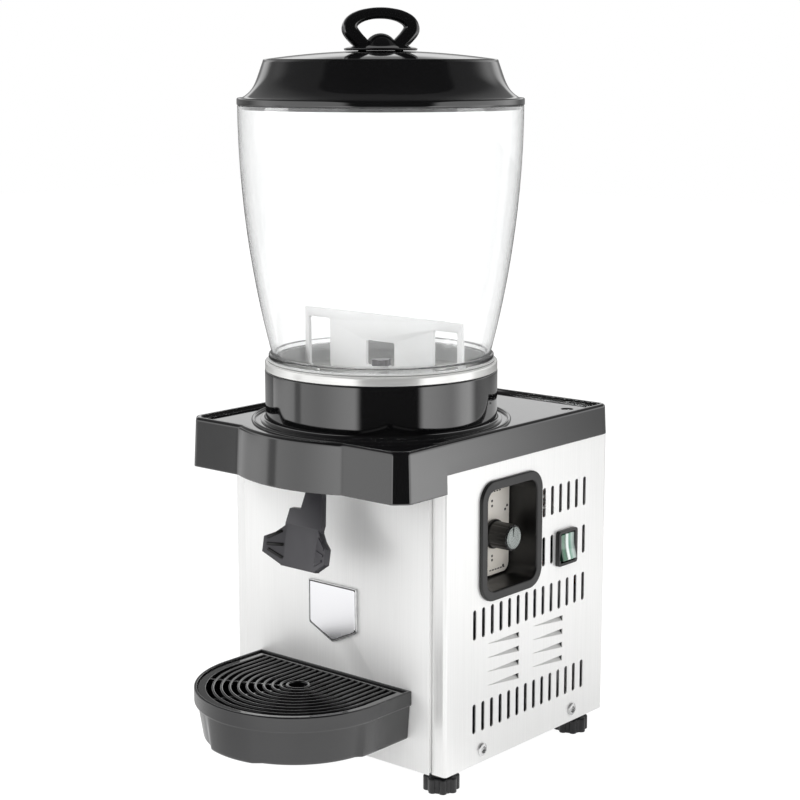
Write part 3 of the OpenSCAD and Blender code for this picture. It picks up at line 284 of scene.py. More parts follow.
# moulded plastic: a tint that hardly varies, a gloss with faint handling marks and a mould's long waviness
def mouldedPlastic(name, colours, rough, waveMm, height, inputs={}):
    material, tree, shader, coords = startMaterial(name, inputs)
    dress(tree, shader, colours, grain(tree, coords, (60, 60, 60)), rough,
          grain(tree, coords, (9, 9, 14), 4), grain(tree, coords, (waveMm,) * 3, 1), height)
    return material


# rolled sheet: streaks along its rolling or brushing direction, drawn 1 mm apart so that they show
def rolledMetal(name, colours, rough, streakMm, height, inputs={}):
    material, tree, shader, coords = startMaterial(name, {"Metallic": 1.0, **inputs})
    streak = grain(tree, coords, streakMm, 3)
    dress(tree, shader, colours, streak, rough, grain(tree, coords, streakMm, 4, 0.6), streak, height)
    return material


# brushed stainless sheet: pale, streaked upright by the belt, soft wide reflections with a milky share
steelSheet = rolledMetal("brushedStainlessSheet", ("#f1f1f0", "#f6f6f5"), (0.36, 0.42), (0.9, 0.9, 70),
                         (0.02, 0.015), {"Metallic": 0.26})
# the sides' sheet of the same steel: a clearer mirror of the floor
steelSide = rolledMetal("brushedStainlessSides", ("#ededec", "#f3f3f2"), (0.34, 0.4), (0.9, 0.9, 70),
                        (0.02, 0.015), {"Metallic": 0.55})
# the same steel drawn and turned: streaks run round the ring, sharper reflections
steelRing = rolledMetal("drawnStainlessRing", ("#dededc", "#ececea"), (0.14, 0.24), (30, 30, 0.7),
                        (0.1, 0.01), {"Metallic": 0.45})
# zinc-coated sheet: blue-grey with blotchy spangle
zincSheet = rolledMetal("galvanisedSheet", ("#9a9d9f", "#b4b6b7"), (0.36, 0.5), (6, 6, 6), (0.05, 0.01))
# turned bright steel: screws, pins and shafts
brightSteel = rolledMetal("turnedBrightSteel", ("#c6c6c6", "#dedede"), (0.16, 0.26), (1, 1, 0.4),
                          (0.06, 0.005))
# thin rolled aluminium of fins and blades
finMetal = rolledMetal("rolledAluminium", ("#b9bcbe", "#d0d2d3"), (0.3, 0.42), (1.5, 1.5, 20), (0.05, 0.01))
# drawn copper tube, dulled by handling
copperTube = rolledMetal("drawnCopper", ("#8f5238", "#b46e4c"), (0.3, 0.46), (5, 5, 5), (0.05, 0.01))
# chromed badge edge: near mirror with a fine polish
chromeTrim = rolledMetal("polishedChrome", ("#cfd0d1", "#e3e3e3"), (0.08, 0.14), (4, 4, 4), (0.03, 0.005))
# black ABS from a polished mould: deep, wet gloss with a slight orange peel
blackGloss = mouldedPlastic("glossBlackAbs", ("#0a0a0b", "#0d0d0e"), (0.06, 0.1), 9, (0.03, 0.05),
                            {"IOR": 1.6, "Coat Weight": 1.0, "Coat Roughness": 0.03})
# the same ABS left satin in the control recess and on the knob: it swallows most of the light
blackSatin = mouldedPlastic("satinBlackAbs", ("#070707", "#0b0a0a"), (0.3, 0.38), 3, (0.06, 0.04),
                            {"IOR": 1.54})
# black polypropylene of the tray: a shade greyer and duller than the cover
blackTray = mouldedPlastic("satinBlackPolypropylene", ("#141415", "#19191b"), (0.18, 0.26), 5, (0.05, 0.05),
                           {"IOR": 1.56, "Coat Weight": 0.5, "Coat Roughness": 0.14})
# dark grey nylon of the lever and the drive parts: satin, faint mould grain
greyNylon = mouldedPlastic("satinGreyNylon", ("#37363a", "#3f3e42"), (0.34, 0.44), 1.2, (0.12, 0.03),
                           {"IOR": 1.53})
# white acetal of the stirrer: pure white, satin
whiteAcetal = mouldedPlastic("whiteAcetal", ("#fbfbfa", "#ffffff"), (0.28, 0.38), 4, (0.04, 0.03),
                             {"IOR": 1.45})
# printed dial plate: cream enamel on sheet
creamPlate = mouldedPlastic("creamDialPlate", ("#f4eee4", "#faf6ef"), (0.3, 0.42), 6, (0.04, 0.02),
                            {"IOR": 1.5})
# black print on the dial
dialInk = mouldedPlastic("blackScreenInk", ("#221f1d", "#2b2826"), (0.5, 0.6), 2, (0.04, 0.01))
# foiled knob cap, spun in fine rings: a grey silver
silverFoil = rolledMetal("spunSilverFoil", ("#7f8482", "#949997"), (0.22, 0.34), (2, 2, 0.5), (0.05, 0.01))
# stamped badge field: a smooth, even satin silver
badgeSilver = rolledMetal("satinSilverPlate", ("#f3f3f6", "#f8f8fa"), (0.2, 0.24), (40, 40, 40), (0.0, 0.001))
# pale silicone of the bowl's seal: satin, a little dusty
paleSilicone = mouldedPlastic("paleSilicone", ("#cbcccb", "#d6d7d6"), (0.4, 0.5), 2, (0.1, 0.03),
                              {"IOR": 1.42})
# soft black grommet rubber: matt with bloom
sealRubber = mouldedPlastic("blackSealRubber", ("#1d1d1e", "#29292a"), (0.55, 0.7), 2, (0.15, 0.03),
                            {"IOR": 1.5})
# black rubber of the feet: matt with a lightly worn skin
footRubber = mouldedPlastic("blackFootRubber", ("#151516", "#1e1e20"), (0.32, 0.5), 2.5, (0.15, 0.05),
                            {"IOR": 1.52})
# stove enamel on the compressor and motors: black with a faint orange peel
blackEnamel = mouldedPlastic("blackStoveEnamel", ("#131314", "#1b1b1c"), (0.25, 0.35), 3, (0.1, 0.04))
# rigid foam, cut: warm cream with open pores
cutFoam = mouldedPlastic("rigidFoam", ("#d8c99c", "#e6d9b2"), (0.75, 0.9), 1, (0.5, 0.2))
# sintered ferrite: dark grey and dead matt
ferrite = mouldedPlastic("sinteredFerrite", ("#2a2a2c", "#343436"), (0.6, 0.75), 0.8, (0.3, 0.05))
# white lead insulation
leadSkin = mouldedPlastic("whiteLeadSkin", ("#e9e8e4", "#f1f0ed"), (0.35, 0.45), 3, (0.05, 0.02))

# green rocker: clear acrylic whose colour is a painted reflection across its width: deep green on the left, a
# white bar, pale on the right
lens = {"from": 107.8, "to": 128.2, "ends": ("#0c2c1e", "#4f5a56"),
        "paintedReflectionStops": ((0.14, "#1d6b46"), (0.32, "#164a34"), (0.4, "#e8f2ee"), (0.5, "#e8f2ee"), (0.58, "#4c8a70"),
                  (0.8, "#a9bdb5"))}
greenLensPaintedReflection, tree, shader, coords = startMaterial("greenAcrylicLensPaintedReflection", {
    "IOR": 1.55, "Coat Weight": 1.0, "Coat Roughness": 0.05})
dress(tree, shader, lens["ends"], grain(tree, coords, (9, 3, 9)), (0.06, 0.14),
      grain(tree, coords, (5, 5, 5)), grain(tree, coords, (2, 1.6, 2)), (0.1, 0.1))
# painted reflection: a colour ramp across the rocker's width, dark green, then a white bar, then pale
place = addNode(tree, "ShaderNodeSeparateXYZ", {}, {"Vector": (coords, "Object")})
share = addNode(tree, "ShaderNodeMapRange", {}, {"Value": (place, "Y"), "From Min": lens["from"] * mm,
                                                 "From Max": lens["to"] * mm})
ramp = addNode(tree, "ShaderNodeValToRGB", {}, {"Fac": share})
for stop, colour in zip(ramp.color_ramp.elements, lens["ends"]):
    stop.color = linear(colour)
for position, colour in lens["paintedReflectionStops"]:
    ramp.color_ramp.elements.new(position).color = linear(colour)
tree.links.new(ramp.outputs["Color"], shader.inputs["Base Color"])

# clear polycarbonate bowl: colourless, mirror smooth, with a mould's slow waves
clearBowl, tree, shader, coords = startMaterial("clearPolycarbonate", {
    "IOR": 1.585, "Transmission Weight": 1.0})
dress(tree, shader, ("#fbfcfc", "#ffffff"), grain(tree, coords, (90, 90, 90)), (0.0, 0.02),
      grain(tree, coords, (40, 40, 60)), grain(tree, coords, (60, 60, 90), 1), (0.004, 0.1))
# it dims what is seen through its thick edges, and lets the lamps reach what stands inside
soak = addNode(tree, "ShaderNodeVolumeAbsorption", {}, {"Color": linear("#000000"), "Density": 46.0})
seen = addNode(tree, "ShaderNodeLightPath")
clear = addNode(tree, "ShaderNodeBsdfTransparent", {}, {"Color": linear("#ffffff")})
pane = addNode(tree, "ShaderNodeMixShader", {}, {0: (seen, "Is Shadow Ray"), 1: shader, 2: clear})
tree.links.new(soak.outputs[0], tree.nodes["Material Output"].inputs["Volume"])
tree.links.new(pane.outputs[0], tree.nodes["Material Output"].inputs["Surface"])
print("materials:", len(bpy.data.materials))


# top cover: rows run from the inner foot out, up the leaning skirt, over the raised edge, across the deck
# and back underneath
cover = {"halfWidth": 121, "front": -104.5, "rear": 183.5, "corner": 10, "chamfer": 9.8, "soften": 1.2,
         "noseRadius": 129.4, "noseDepth": 20, "noseBlend": 0.8, "lean": 0.05, "leanFrom": 281, "top": 303,
         "deck": 300, "under": 297, "sideFoot": 276, "noseFoot": 260.5, "step": -48.3, "wall": 3, "ease": 0.8,
         "edge": 2.4, "rimWidth": 6, "beadRing": 110, "bead": 2, "hole": 95, "columns": 440,
         "wells": ((-98.5, 148.5), (98.5, 148.5)), "wellRadius": 5.6, "wellDeep": 2.2}


# signed distance to the outline from above: rounded rectangle, its front corners cut flat, joined with
# the nose's disc
def coverDistance(x, y):
    c = cover
    midY, halfY = (c["front"] + c["rear"]) / 2, (c["rear"] - c["front"]) / 2
    qx = np.abs(x) - c["halfWidth"] + c["corner"]
    qy = np.abs(y - midY) - halfY + c["corner"]
    box = np.hypot(np.maximum(qx, 0), np.maximum(qy, 0)) + np.minimum(np.maximum(qx, qy), 0) - c["corner"]
    cut = (np.abs(x) - c["halfWidth"] + c["front"] - y + c["chamfer"]) / math.sqrt(2)
    box = np.maximum(box, cut) + np.maximum(c["soften"] - np.abs(box - cut), 0) ** 2 / (4 * c["soften"])
    nose = np.maximum(np.hypot(x, y - bowlY) - c["noseRadius"], y - c["front"] - c["noseDepth"])
    h = np.maximum(c["noseBlend"] - np.abs(box - nose), 0) / c["noseBlend"]
    return np.minimum(box, nose) - h * h * c["noseBlend"] / 4


# reach from the bowl's axis at each angle to where the distance is minus the inset, by halving
def coverReach(angle, inset):
    low, high = np.full(len(angle), 20.0), np.full(len(angle), 320.0)
    for step in range(44):
        mid = (low + high) / 2
        inside = coverDistance(mid * np.cos(angle), bowlY + mid * np.sin(angle)) < -inset
        low, high = np.where(inside, mid, low), np.where(inside, high, mid)
    return low


# angles of the columns: evenly along the outline, closer together on its bends, and a close pair at the
# skirt's step
fine = np.linspace(-np.pi, np.pi, 4001)
reach = coverReach(fine, 0)
line = np.column_stack([reach * np.cos(fine), bowlY + reach * np.sin(fine)])
run = np.diff(line, axis=0)
heading = np.unwrap(np.arctan2(run[:, 1], run[:, 0]))
bendWeight = 26  # mm of straight outline that one radian of bend counts for
weight = np.linalg.norm(run, axis=1) + bendWeight * np.abs(np.diff(heading, append=heading[-1]))
travel = np.concatenate([[0], np.cumsum(weight)])
angle = np.interp(np.linspace(0, travel[-1], cover["columns"], endpoint=False), travel, fine)
stepAt = math.atan2(cover["step"] - bowlY, cover["halfWidth"])
pairs = [at + off for at in (stepAt, -np.pi - stepAt) for off in (-4e-5, 4e-5)]
angle = np.sort(np.concatenate([angle, pairs]))
ahead = bowlY + coverReach(angle, 0) * np.sin(angle) < cover["step"]
footZ = np.where(ahead, cover["noseFoot"], cover["sideFoot"])


def ringRow(r, z):
    return np.column_stack([r * np.cos(angle), bowlY + r * np.sin(angle), z + 0 * angle])


def coverRow(inset, z):
    return ringRow(coverReach(angle, inset), z)


# inset of the leaning skirt at a height
def leanAt(z):
    return cover["lean"] * (z - cover["leanFrom"])


top, deck, edge, wall, ease = (cover[key] for key in ("top", "deck", "edge", "wall", "ease"))
rows = [coverRow(leanAt(footZ) + wall - 0.5, footZ), coverRow(leanAt(footZ) + ease, footZ),
        coverRow(leanAt(footZ) + 0.25, footZ + 0.25), coverRow(leanAt(footZ), footZ + ease)]
for part in (0.02, 0.5, 0.98, 1):
    z = footZ + ease + part * (top - edge - footZ - ease)
    rows.append(coverRow(leanAt(z), z))
for a in np.radians([18, 36, 54, 72, 90]):
    rows.append(coverRow(leanAt(top) + edge * (1 - math.cos(a)), top - edge * (1 - math.sin(a))))
inner = cover["rimWidth"]
rimLine = softLine([(inner - 2, top), (inner - 0.2, top), (inner + 0.5, deck), (inner + 2, deck)], 0.9, 4)
rows += [coverRow(inset, z) for inset, z in rimLine]
for a in np.radians(np.linspace(0, 180, 11)):
    rows.append(ringRow(cover["beadRing"] + cover["bead"] * math.cos(a), deck + cover["bead"] * math.sin(a)))
rows += [ringRow(cover["hole"], deck), ringRow(cover["hole"], cover["under"]),
         ringRow(cover["beadRing"], cover["under"]), coverRow(wall + 1, cover["under"]),
         coverRow(leanAt(footZ) + wall, footZ + 0.6), rows[0]]
topCover = makePiece("topCover", [skin(rows)], blackGloss, "cabinet", ["top_cover"])
well = [(0, deck - cover["wellDeep"]), (cover["wellRadius"], deck - cover["wellDeep"]),
        (cover["wellRadius"], deck + 6), (0, deck + 6)]
cutOut(topCover, [turned(well, x, y, 48) for x, y in cover["wells"]])
print("top cover done")


# lid: rim, flared side, crisp upper edge and low dome, with the plug that drops into the bowl
lid = {"rimRadius": 120.5, "foot": 567, "rimTop": 573, "topRadius": 98.3, "edgeZ": 603.1, "edge": 1.4,
       "rise": 7, "flare": 10.5, "flick": 7.5, "wall": 2.5, "plugRadius": 116.7, "plugDeep": 3.5}
foot, rimTop, topRadius, edgeZ, edge = (lid[key] for key in ("foot", "rimTop", "topRadius", "edgeZ", "edge"))
flatRadius, crownZ = topRadius - edge, edgeZ + edge + lid["rise"]
u = np.linspace(1, 0, 25)
side = np.column_stack([topRadius + lid["flare"] * u + lid["flick"] * u ** 6,
                        rimTop + (edgeZ - rimTop) * (1 - u)])
a = np.radians(np.linspace(15, 90, 6))
brow = np.column_stack([flatRadius + edge * np.cos(a), edgeZ + edge * np.sin(a)])
r = np.linspace(flatRadius, 0, 24)[1:]
crown = np.column_stack([r, crownZ - lid["rise"] * (r / flatRadius) ** 2])
rim = softLine([(lid["plugRadius"], foot), (lid["rimRadius"], foot), (lid["rimRadius"], rimTop),
                (side[0, 0], rimTop)], (1, 1.6), 4)
plug, plugFoot, wall = lid["plugRadius"], foot - lid["plugDeep"], lid["wall"]
hollow = [(0, crownZ - wall), (50, crownZ - wall - 1.9), (topRadius - 6, edgeZ - 0.6),
          (topRadius + 2, edgeZ - 16), (plug - wall, rimTop - 1), (plug - wall, plugFoot), (plug, plugFoot),
          (plug, foot)]
shape = np.vstack([rim[:-1], side, brow, crown, hollow])
makePiece("lidShell", [turned(shape, steps=192)], blackGloss, "lid", ["lid"])

# lid handle: square-shouldered bar carried round an omega, on a domed hub and a turned flange
handle = {"turn": 55, "base": crownZ + 0.1, "depth": 11, "flange": 31, "hub": 14.2, "height": 31,
          "barAt": (0, 0.55, 0.97), "bar": (5.4, 6.6, 4.7),
          "half": ((12.8, 0.4), (15.4, 4.4), (21.8, 10.6), (26.4, 17.2), (24.5, 23.4), (17.5, 27.8),
                   (8.6, 30), (0, 30.6))}
# the omega: a Catmull-Rom curve through the half's points and their mirror image
half = np.array(handle["half"], float) + (0, handle["base"])
knots = np.vstack([half * (-1, 1), half[-2::-1]])
t = np.linspace(0, len(knots) - 1, 90)
i = np.clip(t.astype(int), 0, len(knots) - 2)
f = (t - i)[:, None]
ghost = np.vstack([2 * knots[0] - knots[1], knots, 2 * knots[-1] - knots[-2]])
p0, p1, p2, p3 = ghost[i], ghost[i + 1], ghost[i + 2], ghost[i + 3]
loop = 0.5 * (2 * p1 + (p2 - p0) * f + (2 * p0 - 5 * p1 + 4 * p2 - p3) * f ** 2
              + (3 * p1 - p0 - 3 * p2 + p3) * f ** 3)
way = np.gradient(loop, axis=0)
way /= np.linalg.norm(way, axis=1, keepdims=True)
upright = np.array([0, 0, 1])
flatwise = np.array([math.cos(math.radians(handle["turn"])), math.sin(math.radians(handle["turn"])), 0])
across = np.array([-flatwise[1], flatwise[0], 0])
path = loop[:, :1] * flatwise + loop[:, 1:] * upright + np.array([0, bowlY, 0])
outward = -way[:, 1:] * flatwise + way[:, :1] * upright
a = np.linspace(0, 2 * np.pi, 36, endpoint=False)
oval = np.column_stack([np.sign(wave) * np.abs(wave) ** 0.5 for wave in (np.cos(a), np.sin(a))])
rise = np.clip((path[:, 2] - handle["base"]) / handle["height"], 0, 1)
stretch = np.column_stack([np.interp(rise, handle["barAt"], handle["bar"]),
                           np.full(len(path), handle["depth"] / 2)])
z, flange = handle["base"], handle["flange"]
a = np.radians(np.linspace(90, 18, 14))
hub = np.column_stack([handle["hub"] * np.cos(a), z + handle["hub"] * np.sin(a)])
brim = softLine([hub[-1], (22, z + 4), (flange, z + 1.7), (flange - 0.8, z), (0, z)], (3, 1.6, 0.6), 4)
makePiece("lidHandle", [swept(path, outward, np.tile(across, (len(path), 1)), oval, stretch),
                        turned(np.vstack([hub, brim[1:]]), steps=96)],
          blackGloss, "lid", ["lid_handle"])

# bowl: wall on a long curve, rolled bead over the seal and a short foot inside the cup
bowl = {"mouth": 120, "curve": 840, "top": 566.6, "seat": 353.4, "wall": 2.5, "bead": 96.4, "foot": 92.5,
        "footZ": 333}
mouth, top, seat = bowl["mouth"], bowl["top"], bowl["seat"]
bead, foot, footEnd = bowl["bead"], bowl["foot"], bowl["footZ"]
z = np.linspace(seat + 7, top, 40)
wallOut = mouth - bowl["curve"] + np.sqrt(bowl["curve"] ** 2 - (z - top) ** 2)
wallIn = wallOut - bowl["wall"]
lip = softLine([(wallOut[-1], top - 1), (wallOut[-1], top), (wallIn[-1], top), (wallIn[-1], top - 1)], 0.8, 4)
flare = softLine([(foot, footEnd), (foot, seat), (bead, seat), (bead, seat + 4.2),
                  (wallOut[0] - 0.2, seat + 4.4), (wallOut[0], seat + 7)], (0.3, 1.6, 1.6, 1.2), 5)
footIn = foot - bowl["wall"]
shape = np.vstack([flare[:-1], np.column_stack([wallOut, z])[:-1], lip,
                   np.column_stack([wallIn, z])[::-1][1:],
                   [(wallIn[0] - 0.3, seat + 4), (footIn, seat - 1), (footIn, footEnd), (foot, footEnd)]])
makePiece("bowlShell", [turned(shape, steps=192)], clearBowl, "bowl", ["bowl"])

# collar: straight wall with an eased upper edge and a hollow foot that sweeps onto the deck
collar = {"radius": 99.8, "inner": 96.8, "top": 344, "deck": 300, "foot": 4.2}
radius, inner, top, deck = (collar[key] for key in ("radius", "inner", "top", "deck"))
spread = radius + collar["foot"]
shape = softLine([(inner, deck + 0.05), (spread, deck + 0.05), (spread, deck + 1.2), (radius, deck + 1.6),
                  (radius, top), (inner, top), (inner, deck + 0.05)], (0.4, 0.5, 4.2, 1.2, 0.4), 7)
makePiece("bowlCollar", [turned(shape, steps=192)], blackGloss, "cabinet", ["bowl_collar"])

# cold cup: floor with the tap's hole, wall and rolled steel rim
cup = {"outer": 96.4, "inner": 95.4, "rim": 99.6, "floor": 308, "sheet": 1.2, "collarTop": 344.3, "top": 352,
       "holeRadius": 4.8, "holeY": -60}
outer, inner, rim, floorZ, rimFoot = (cup[key] for key in ("outer", "inner", "rim", "floor", "collarTop"))
under = floorZ - cup["sheet"]
shape = softLine([(0, under), (outer, under), (outer, rimFoot), (rim, rimFoot), (rim, cup["top"]),
                  (inner, cup["top"]), (inner, floorZ), (0, floorZ)], (1, 0.2, 0.8, 2.1, 2.1, 6), 7)
coldCup = makePiece("coldCup", [turned(shape, steps=192)], steelRing, "cabinet", ["evaporator_cup"])
drill = [(0, floorZ - 8), (cup["holeRadius"], floorZ - 8), (cup["holeRadius"], floorZ + 7), (0, floorZ + 7)]
cutOut(coldCup, [turned(drill, 0, cup["holeY"], 32)])

# seal between the cup's rim and the bowl
seal = {"inner": 92.6, "outer": 95, "lip": 97.2, "foot": 338, "lipFoot": 352.4, "top": 353.3}
inner, outer, lip = seal["inner"], seal["outer"], seal["lip"]
foot, lipFoot, top = seal["foot"], seal["lipFoot"], seal["top"]
shape = softLine([(inner, foot), (outer, foot), (outer, lipFoot - 1.4), (outer + 0.4, lipFoot),
                  (lip, lipFoot), (lip, top), (inner, top), (inner, foot)], (0.3, 0.6, 0.3, 0.3, 0.3, 0.3), 3)
makePiece("bowlSeal", [turned(shape, steps=144)], paleSilicone, "bowl", ["bowl_gasket"])
print("lid, bowl and cup done")


# drip tray: U outlines stacked from the floor's outside, up the scooped wall and the band, over the rim
# and down inside
tray = {"half": 87, "midY": -96.5, "back": -52, "top": 89.5, "foot": 46.5, "taper": 3, "band": 13,
        "wall": 2.5, "ledge": 82.5, "scoop": (9, 74), "scoopDeep": 3.1, "hookX": 50, "hookHalf": 6}


# half circle in front and straight sides to a back line, the same points at any radius
def uOutline(r, back, arc=96, straight=10, rear=16):
    a = np.linspace(0, -np.pi, arc)
    front = np.column_stack([r * np.cos(a), tray["midY"] + r * np.sin(a)])
    y = np.linspace(tray["midY"], back, straight)[1:]
    left = np.column_stack([np.full(straight - 1, -r), y])
    behind = np.column_stack([np.linspace(-r, r, rear)[1:], np.full(rear - 1, back)])
    right = np.column_stack([np.full(straight - 2, r), y[::-1][1:]])
    return np.vstack([front, left, behind, right])


# share of the finger scoops at each point of the outline: full between two angles from either side
turn = np.degrees(np.linspace(0, np.pi, 96))
fromSide = np.minimum(turn, 180 - turn)
scooped = np.zeros(len(uOutline(10, 0)))
first, last = tray["scoop"]
scooped[:96] = np.clip((fromSide - first) / 0.7, 0, 1) * np.clip((last - fromSide) / 6, 0, 1)


# one outline at an inset from the tray's side, pulled in further where the finger scoops are
def trayRow(inset, z, scoop=0.0, backInset=None):
    flat = uOutline(tray["half"] - inset, tray["back"] - (inset if backInset is None else backInset))
    centre = np.array([0, tray["midY"]])
    out = flat - centre
    flat = centre + out * (1 - scooped * scoop / np.linalg.norm(out, axis=1))[:, None]
    return np.column_stack([flat, np.full(len(flat), z)])


foot, top, taper, wall = tray["foot"], tray["top"], tray["taper"], tray["wall"]
bandFoot, deep, ledge = top - tray["band"], tray["scoopDeep"], tray["ledge"]
footRound = ((3, 0, 0.1, 1.5), (0.9, 0.3, 0.1, 0.5), (0.2, 1.2, 0.1, 0.2), (0, 2.4, 0, 0))
rows = [trayRow(1 + taper + inset, foot + rise, deep + more, back) for inset, rise, more, back in footRound]
for part in (0.04, 0.33, 0.66, 0.96, 1):
    z = foot + 2.4 + part * (bandFoot - 0.6 - foot - 2.4)
    rows.append(trayRow(1 + taper * (1 - part * 0.7), z, deep - 2.1 * part, 0))
rimLine = softLine([(1.8, bandFoot - 0.5), (0.5, bandFoot), (0, bandFoot + 0.9), (0, top), (wall, top),
                    (wall, ledge), (wall + 3, ledge), (wall + 3, ledge - 3)],
                   (0.5, 0.5, 1.1, 0.9, 0.3, 0.3), 4)
rows += [trayRow(inset, z) for inset, z in rimLine]
rows += [trayRow(wall + 4, foot + 10), trayRow(wall + 6, foot + 4), trayRow(wall + 12, foot + wall)]
hooks = []
for x in (-tray["hookX"], tray["hookX"]):
    low, high = x - tray["hookHalf"], x + tray["hookHalf"]
    hooks.append(easedBox((low, -54, 57.3), (high, -46.7, 61), 0.4))
    hooks.append(easedBox((low, -50, 45.3), (high, -47.2, 61), 0.4))
makePiece("dripTray", [skin(rows, True, True)] + hooks, blackTray, "tray", ["drip_tray"])

# drip grate: round-topped bars nested as U shapes, a flat border and low ribs under the bars
grate = {"foot": 82.8, "thick": 5, "first": 14.5, "pitch": 7.1, "bars": 9, "bar": 2.8, "border": 83.9,
         "borderIn": 77.0, "back": -55.1, "ribDeep": 2.5, "ribHalf": 1.2, "ring": 9.2,
         "rays": (-155, -115, -65, -25), "crossY": (-84.5, -69.8), "crossHalf": 80}
foot, thick, border, back, ring = (grate[key] for key in ("foot", "thick", "border", "back", "ring"))
barEnd = back - 2
h = grate["bar"] / 2
a = np.radians(np.linspace(0, 180, 9))
section = np.vstack([np.column_stack([h * np.cos(a), thick - h + h * np.sin(a)]), [(-h, 0), (h, 0)]])
parts = []
for k in range(grate["bars"]):
    r = grate["first"] + k * grate["pitch"]
    a = np.linspace(0, -np.pi, 40 + 5 * k)
    bend = np.column_stack([r * np.cos(a), tray["midY"] + r * np.sin(a), np.full(len(a), foot)])
    path = np.vstack([[(r, barEnd, foot)], bend, [(-r, barEnd, foot)]])
    out = np.vstack([[(1, 0, 0)], np.column_stack([np.cos(a), np.sin(a), 0 * a]), [(-1, 0, 0)]])
    parts.append(swept(path, out, np.tile(upright, (len(path), 1)), section))
# the middle's ring and the three bars behind it
a = np.linspace(0, 2 * np.pi, 48, endpoint=False)
out = np.column_stack([np.cos(a), np.sin(a), 0 * a])
path = ring * out + np.array([0, tray["midY"], foot])
parts.append(swept(path, out, np.tile(upright, (48, 1)), section, ring=True))
for x in np.array([-1, 0, 1]) * (grate["first"] - grate["pitch"]):
    ends = [(x, tray["midY"] + math.sqrt(ring ** 2 - x * x), foot), (x, barEnd, foot)]
    parts.append(swept(ends, np.tile((1, 0, 0), (2, 1)), np.tile(upright, (2, 1)), section))
width = border - grate["borderIn"]
rows = []
for inset, z in softLine([(0, 0), (0, thick), (width, thick), (width, 0), (0, 0)], (0.9, 0.9, 0.2), 4):
    flat = uOutline(border - inset, back - inset * 0.58, 110)
    rows.append(np.column_stack([flat, np.full(len(flat), foot + z)]))
parts.append(skin(rows))
rib, deep = grate["ribHalf"], grate["ribDeep"]
for a in np.radians(grate["rays"]):
    way = np.array([math.cos(a), math.sin(a), 0])
    ends = np.array([0, tray["midY"], foot]) + np.outer([ring, border - 3], way)
    parts.append(swept(ends, np.tile((-way[1], way[0], 0), (2, 1)), np.tile(upright, (2, 1)),
                       [(-rib, 0), (rib, 0), (rib, deep), (-rib, deep)]))
half = grate["crossHalf"]
for y in grate["crossY"]:
    parts.append(easedBox((-half, y - rib, foot), (half, y + rib, foot + deep), 0.3))
makePiece("dripGrate", parts, blackGloss, "grate", ["drip_grate"])
print("tray and grate done")


# control box: bezel with soft edges, leaning walls and a recess floor
control = {"y": 38.2, "z": 210.2, "width": 84.4, "height": 103, "corner": 17, "border": 8.2, "face": 123,
           "panel": 120.02, "floor": 93}


# outline facing +x: a round-cornered rectangle about (y, z), standing at x
def facingRow(w, h, r, x, y, z, steps):
    flat = roundRect(w, h, r, steps)
    return np.column_stack([np.full(len(flat), x), flat[:, 0] + y, flat[:, 1] + z])


# outline of the control box at an inset, its corners a little rounder than the inset leaves them
def controlRow(inset, x):
    c = control
    corner = max(c["corner"] - inset * 0.85, 1)
    return facingRow(c["width"] - 2 * inset, c["height"] - 2 * inset, corner, x, c["y"], c["z"], 12)


border, face, panel, floorX = (control[key] for key in ("border", "face", "panel", "floor"))
line = softLine([(0, panel), (0, face), (border, face), (border + 0.4, floorX), (border + 14, floorX)],
                (1.8, 1.8, 1.5), 5)
rows = [controlRow(border - 2, panel)] + [controlRow(inset, x) for inset, x in line]
back = [controlRow(border - 2, panel), controlRow(border - 2, floorX - 2)]
makePiece("controlBox", [skin(rows, False, True), skin(back, False, True)], blackSatin, "cabinet",
          ["control_box"])

# dial plate with printed dots beside the knob and a dashed line near its upper and lower edges
dial = {"y": 38.2, "z": 210.2, "width": 65, "height": 82.6, "corner": 8, "x": 93.02, "thick": 1, "ease": 0.3,
        "dot": 1.2, "dots": ((46.3, 234.2), (46.4, 229.8), (64.8, 223.8), (67.6, 226.8), (47.0, 185.7),
                             (47.0, 182.1), (62.7, 174.4)),
        "dashes": ((241.6, 44.8, 4), (172.5, 43.5, 6)), "dash": (2.6, 1.1), "dashPitch": 3.7}
width, height, corner, ease = (dial[key] for key in ("width", "height", "corner", "ease"))
face = dial["x"] + dial["thick"]
rows = [facingRow(width - 2 * inset, height - 2 * inset, corner - inset, x, dial["y"], dial["z"], 9)
        for inset, x in ((0, dial["x"]), (0, face - ease), (ease, face))]
makePiece("dialPlate", [skin(rows, True, True)], creamPlate, "cabinet", ["dial_plate"])
spot = turned([(0, -0.02), (dial["dot"], -0.02), (dial["dot"], 0.08), (0, 0.08)], 0, 0, 20)
ink = [layAlongX(spot, (face, y, z)) for y, z in dial["dots"]]
w, h = dial["dash"]
for z, first, count in dial["dashes"]:
    starts = first + dial["dashPitch"] * np.arange(count)
    ink += [easedBox((face - 0.05, y, z), (face + 0.08, y + w, z + h), 0.02) for y in starts]
makePiece("dialPrint", ink, dialInk, "cabinet", ())

# knob: fluted black barrel on a skirt, closed by a spun silver cap with a raised pointer
knob = {"y": 46, "z": 206, "x": 95.6, "length": 21.5, "radius": 11.3, "skirt": 12.8, "flutes": 12,
        "fluteDeep": 0.8}
radius, length, skirt = knob["radius"], knob["length"], knob["skirt"]
a = np.linspace(0, 2 * np.pi, 240, endpoint=False)
wave = np.clip(np.cos(knob["flutes"] * a) * 1.6 - 0.4, 0, 1)  # narrow grooves between wide lands
barrel = softLine([(0, 0), (skirt, 0), (skirt, 2.6), (radius + 0.2, 3.4), (radius, length),
                   (radius - 1.4, length), (radius - 1.4, length - 0.6), (0, length - 0.6)],
                  (0.5, 0.8, 0.6, 0.9, 0.3, 0.2), 4)
cutIn = knob["fluteDeep"] * np.clip((barrel[:, 1] - 4.2) / 0.8, 0, 1) * (barrel[:, 0] > radius - 1.2)
r = barrel[:, :1] - cutIn[:, None] * wave
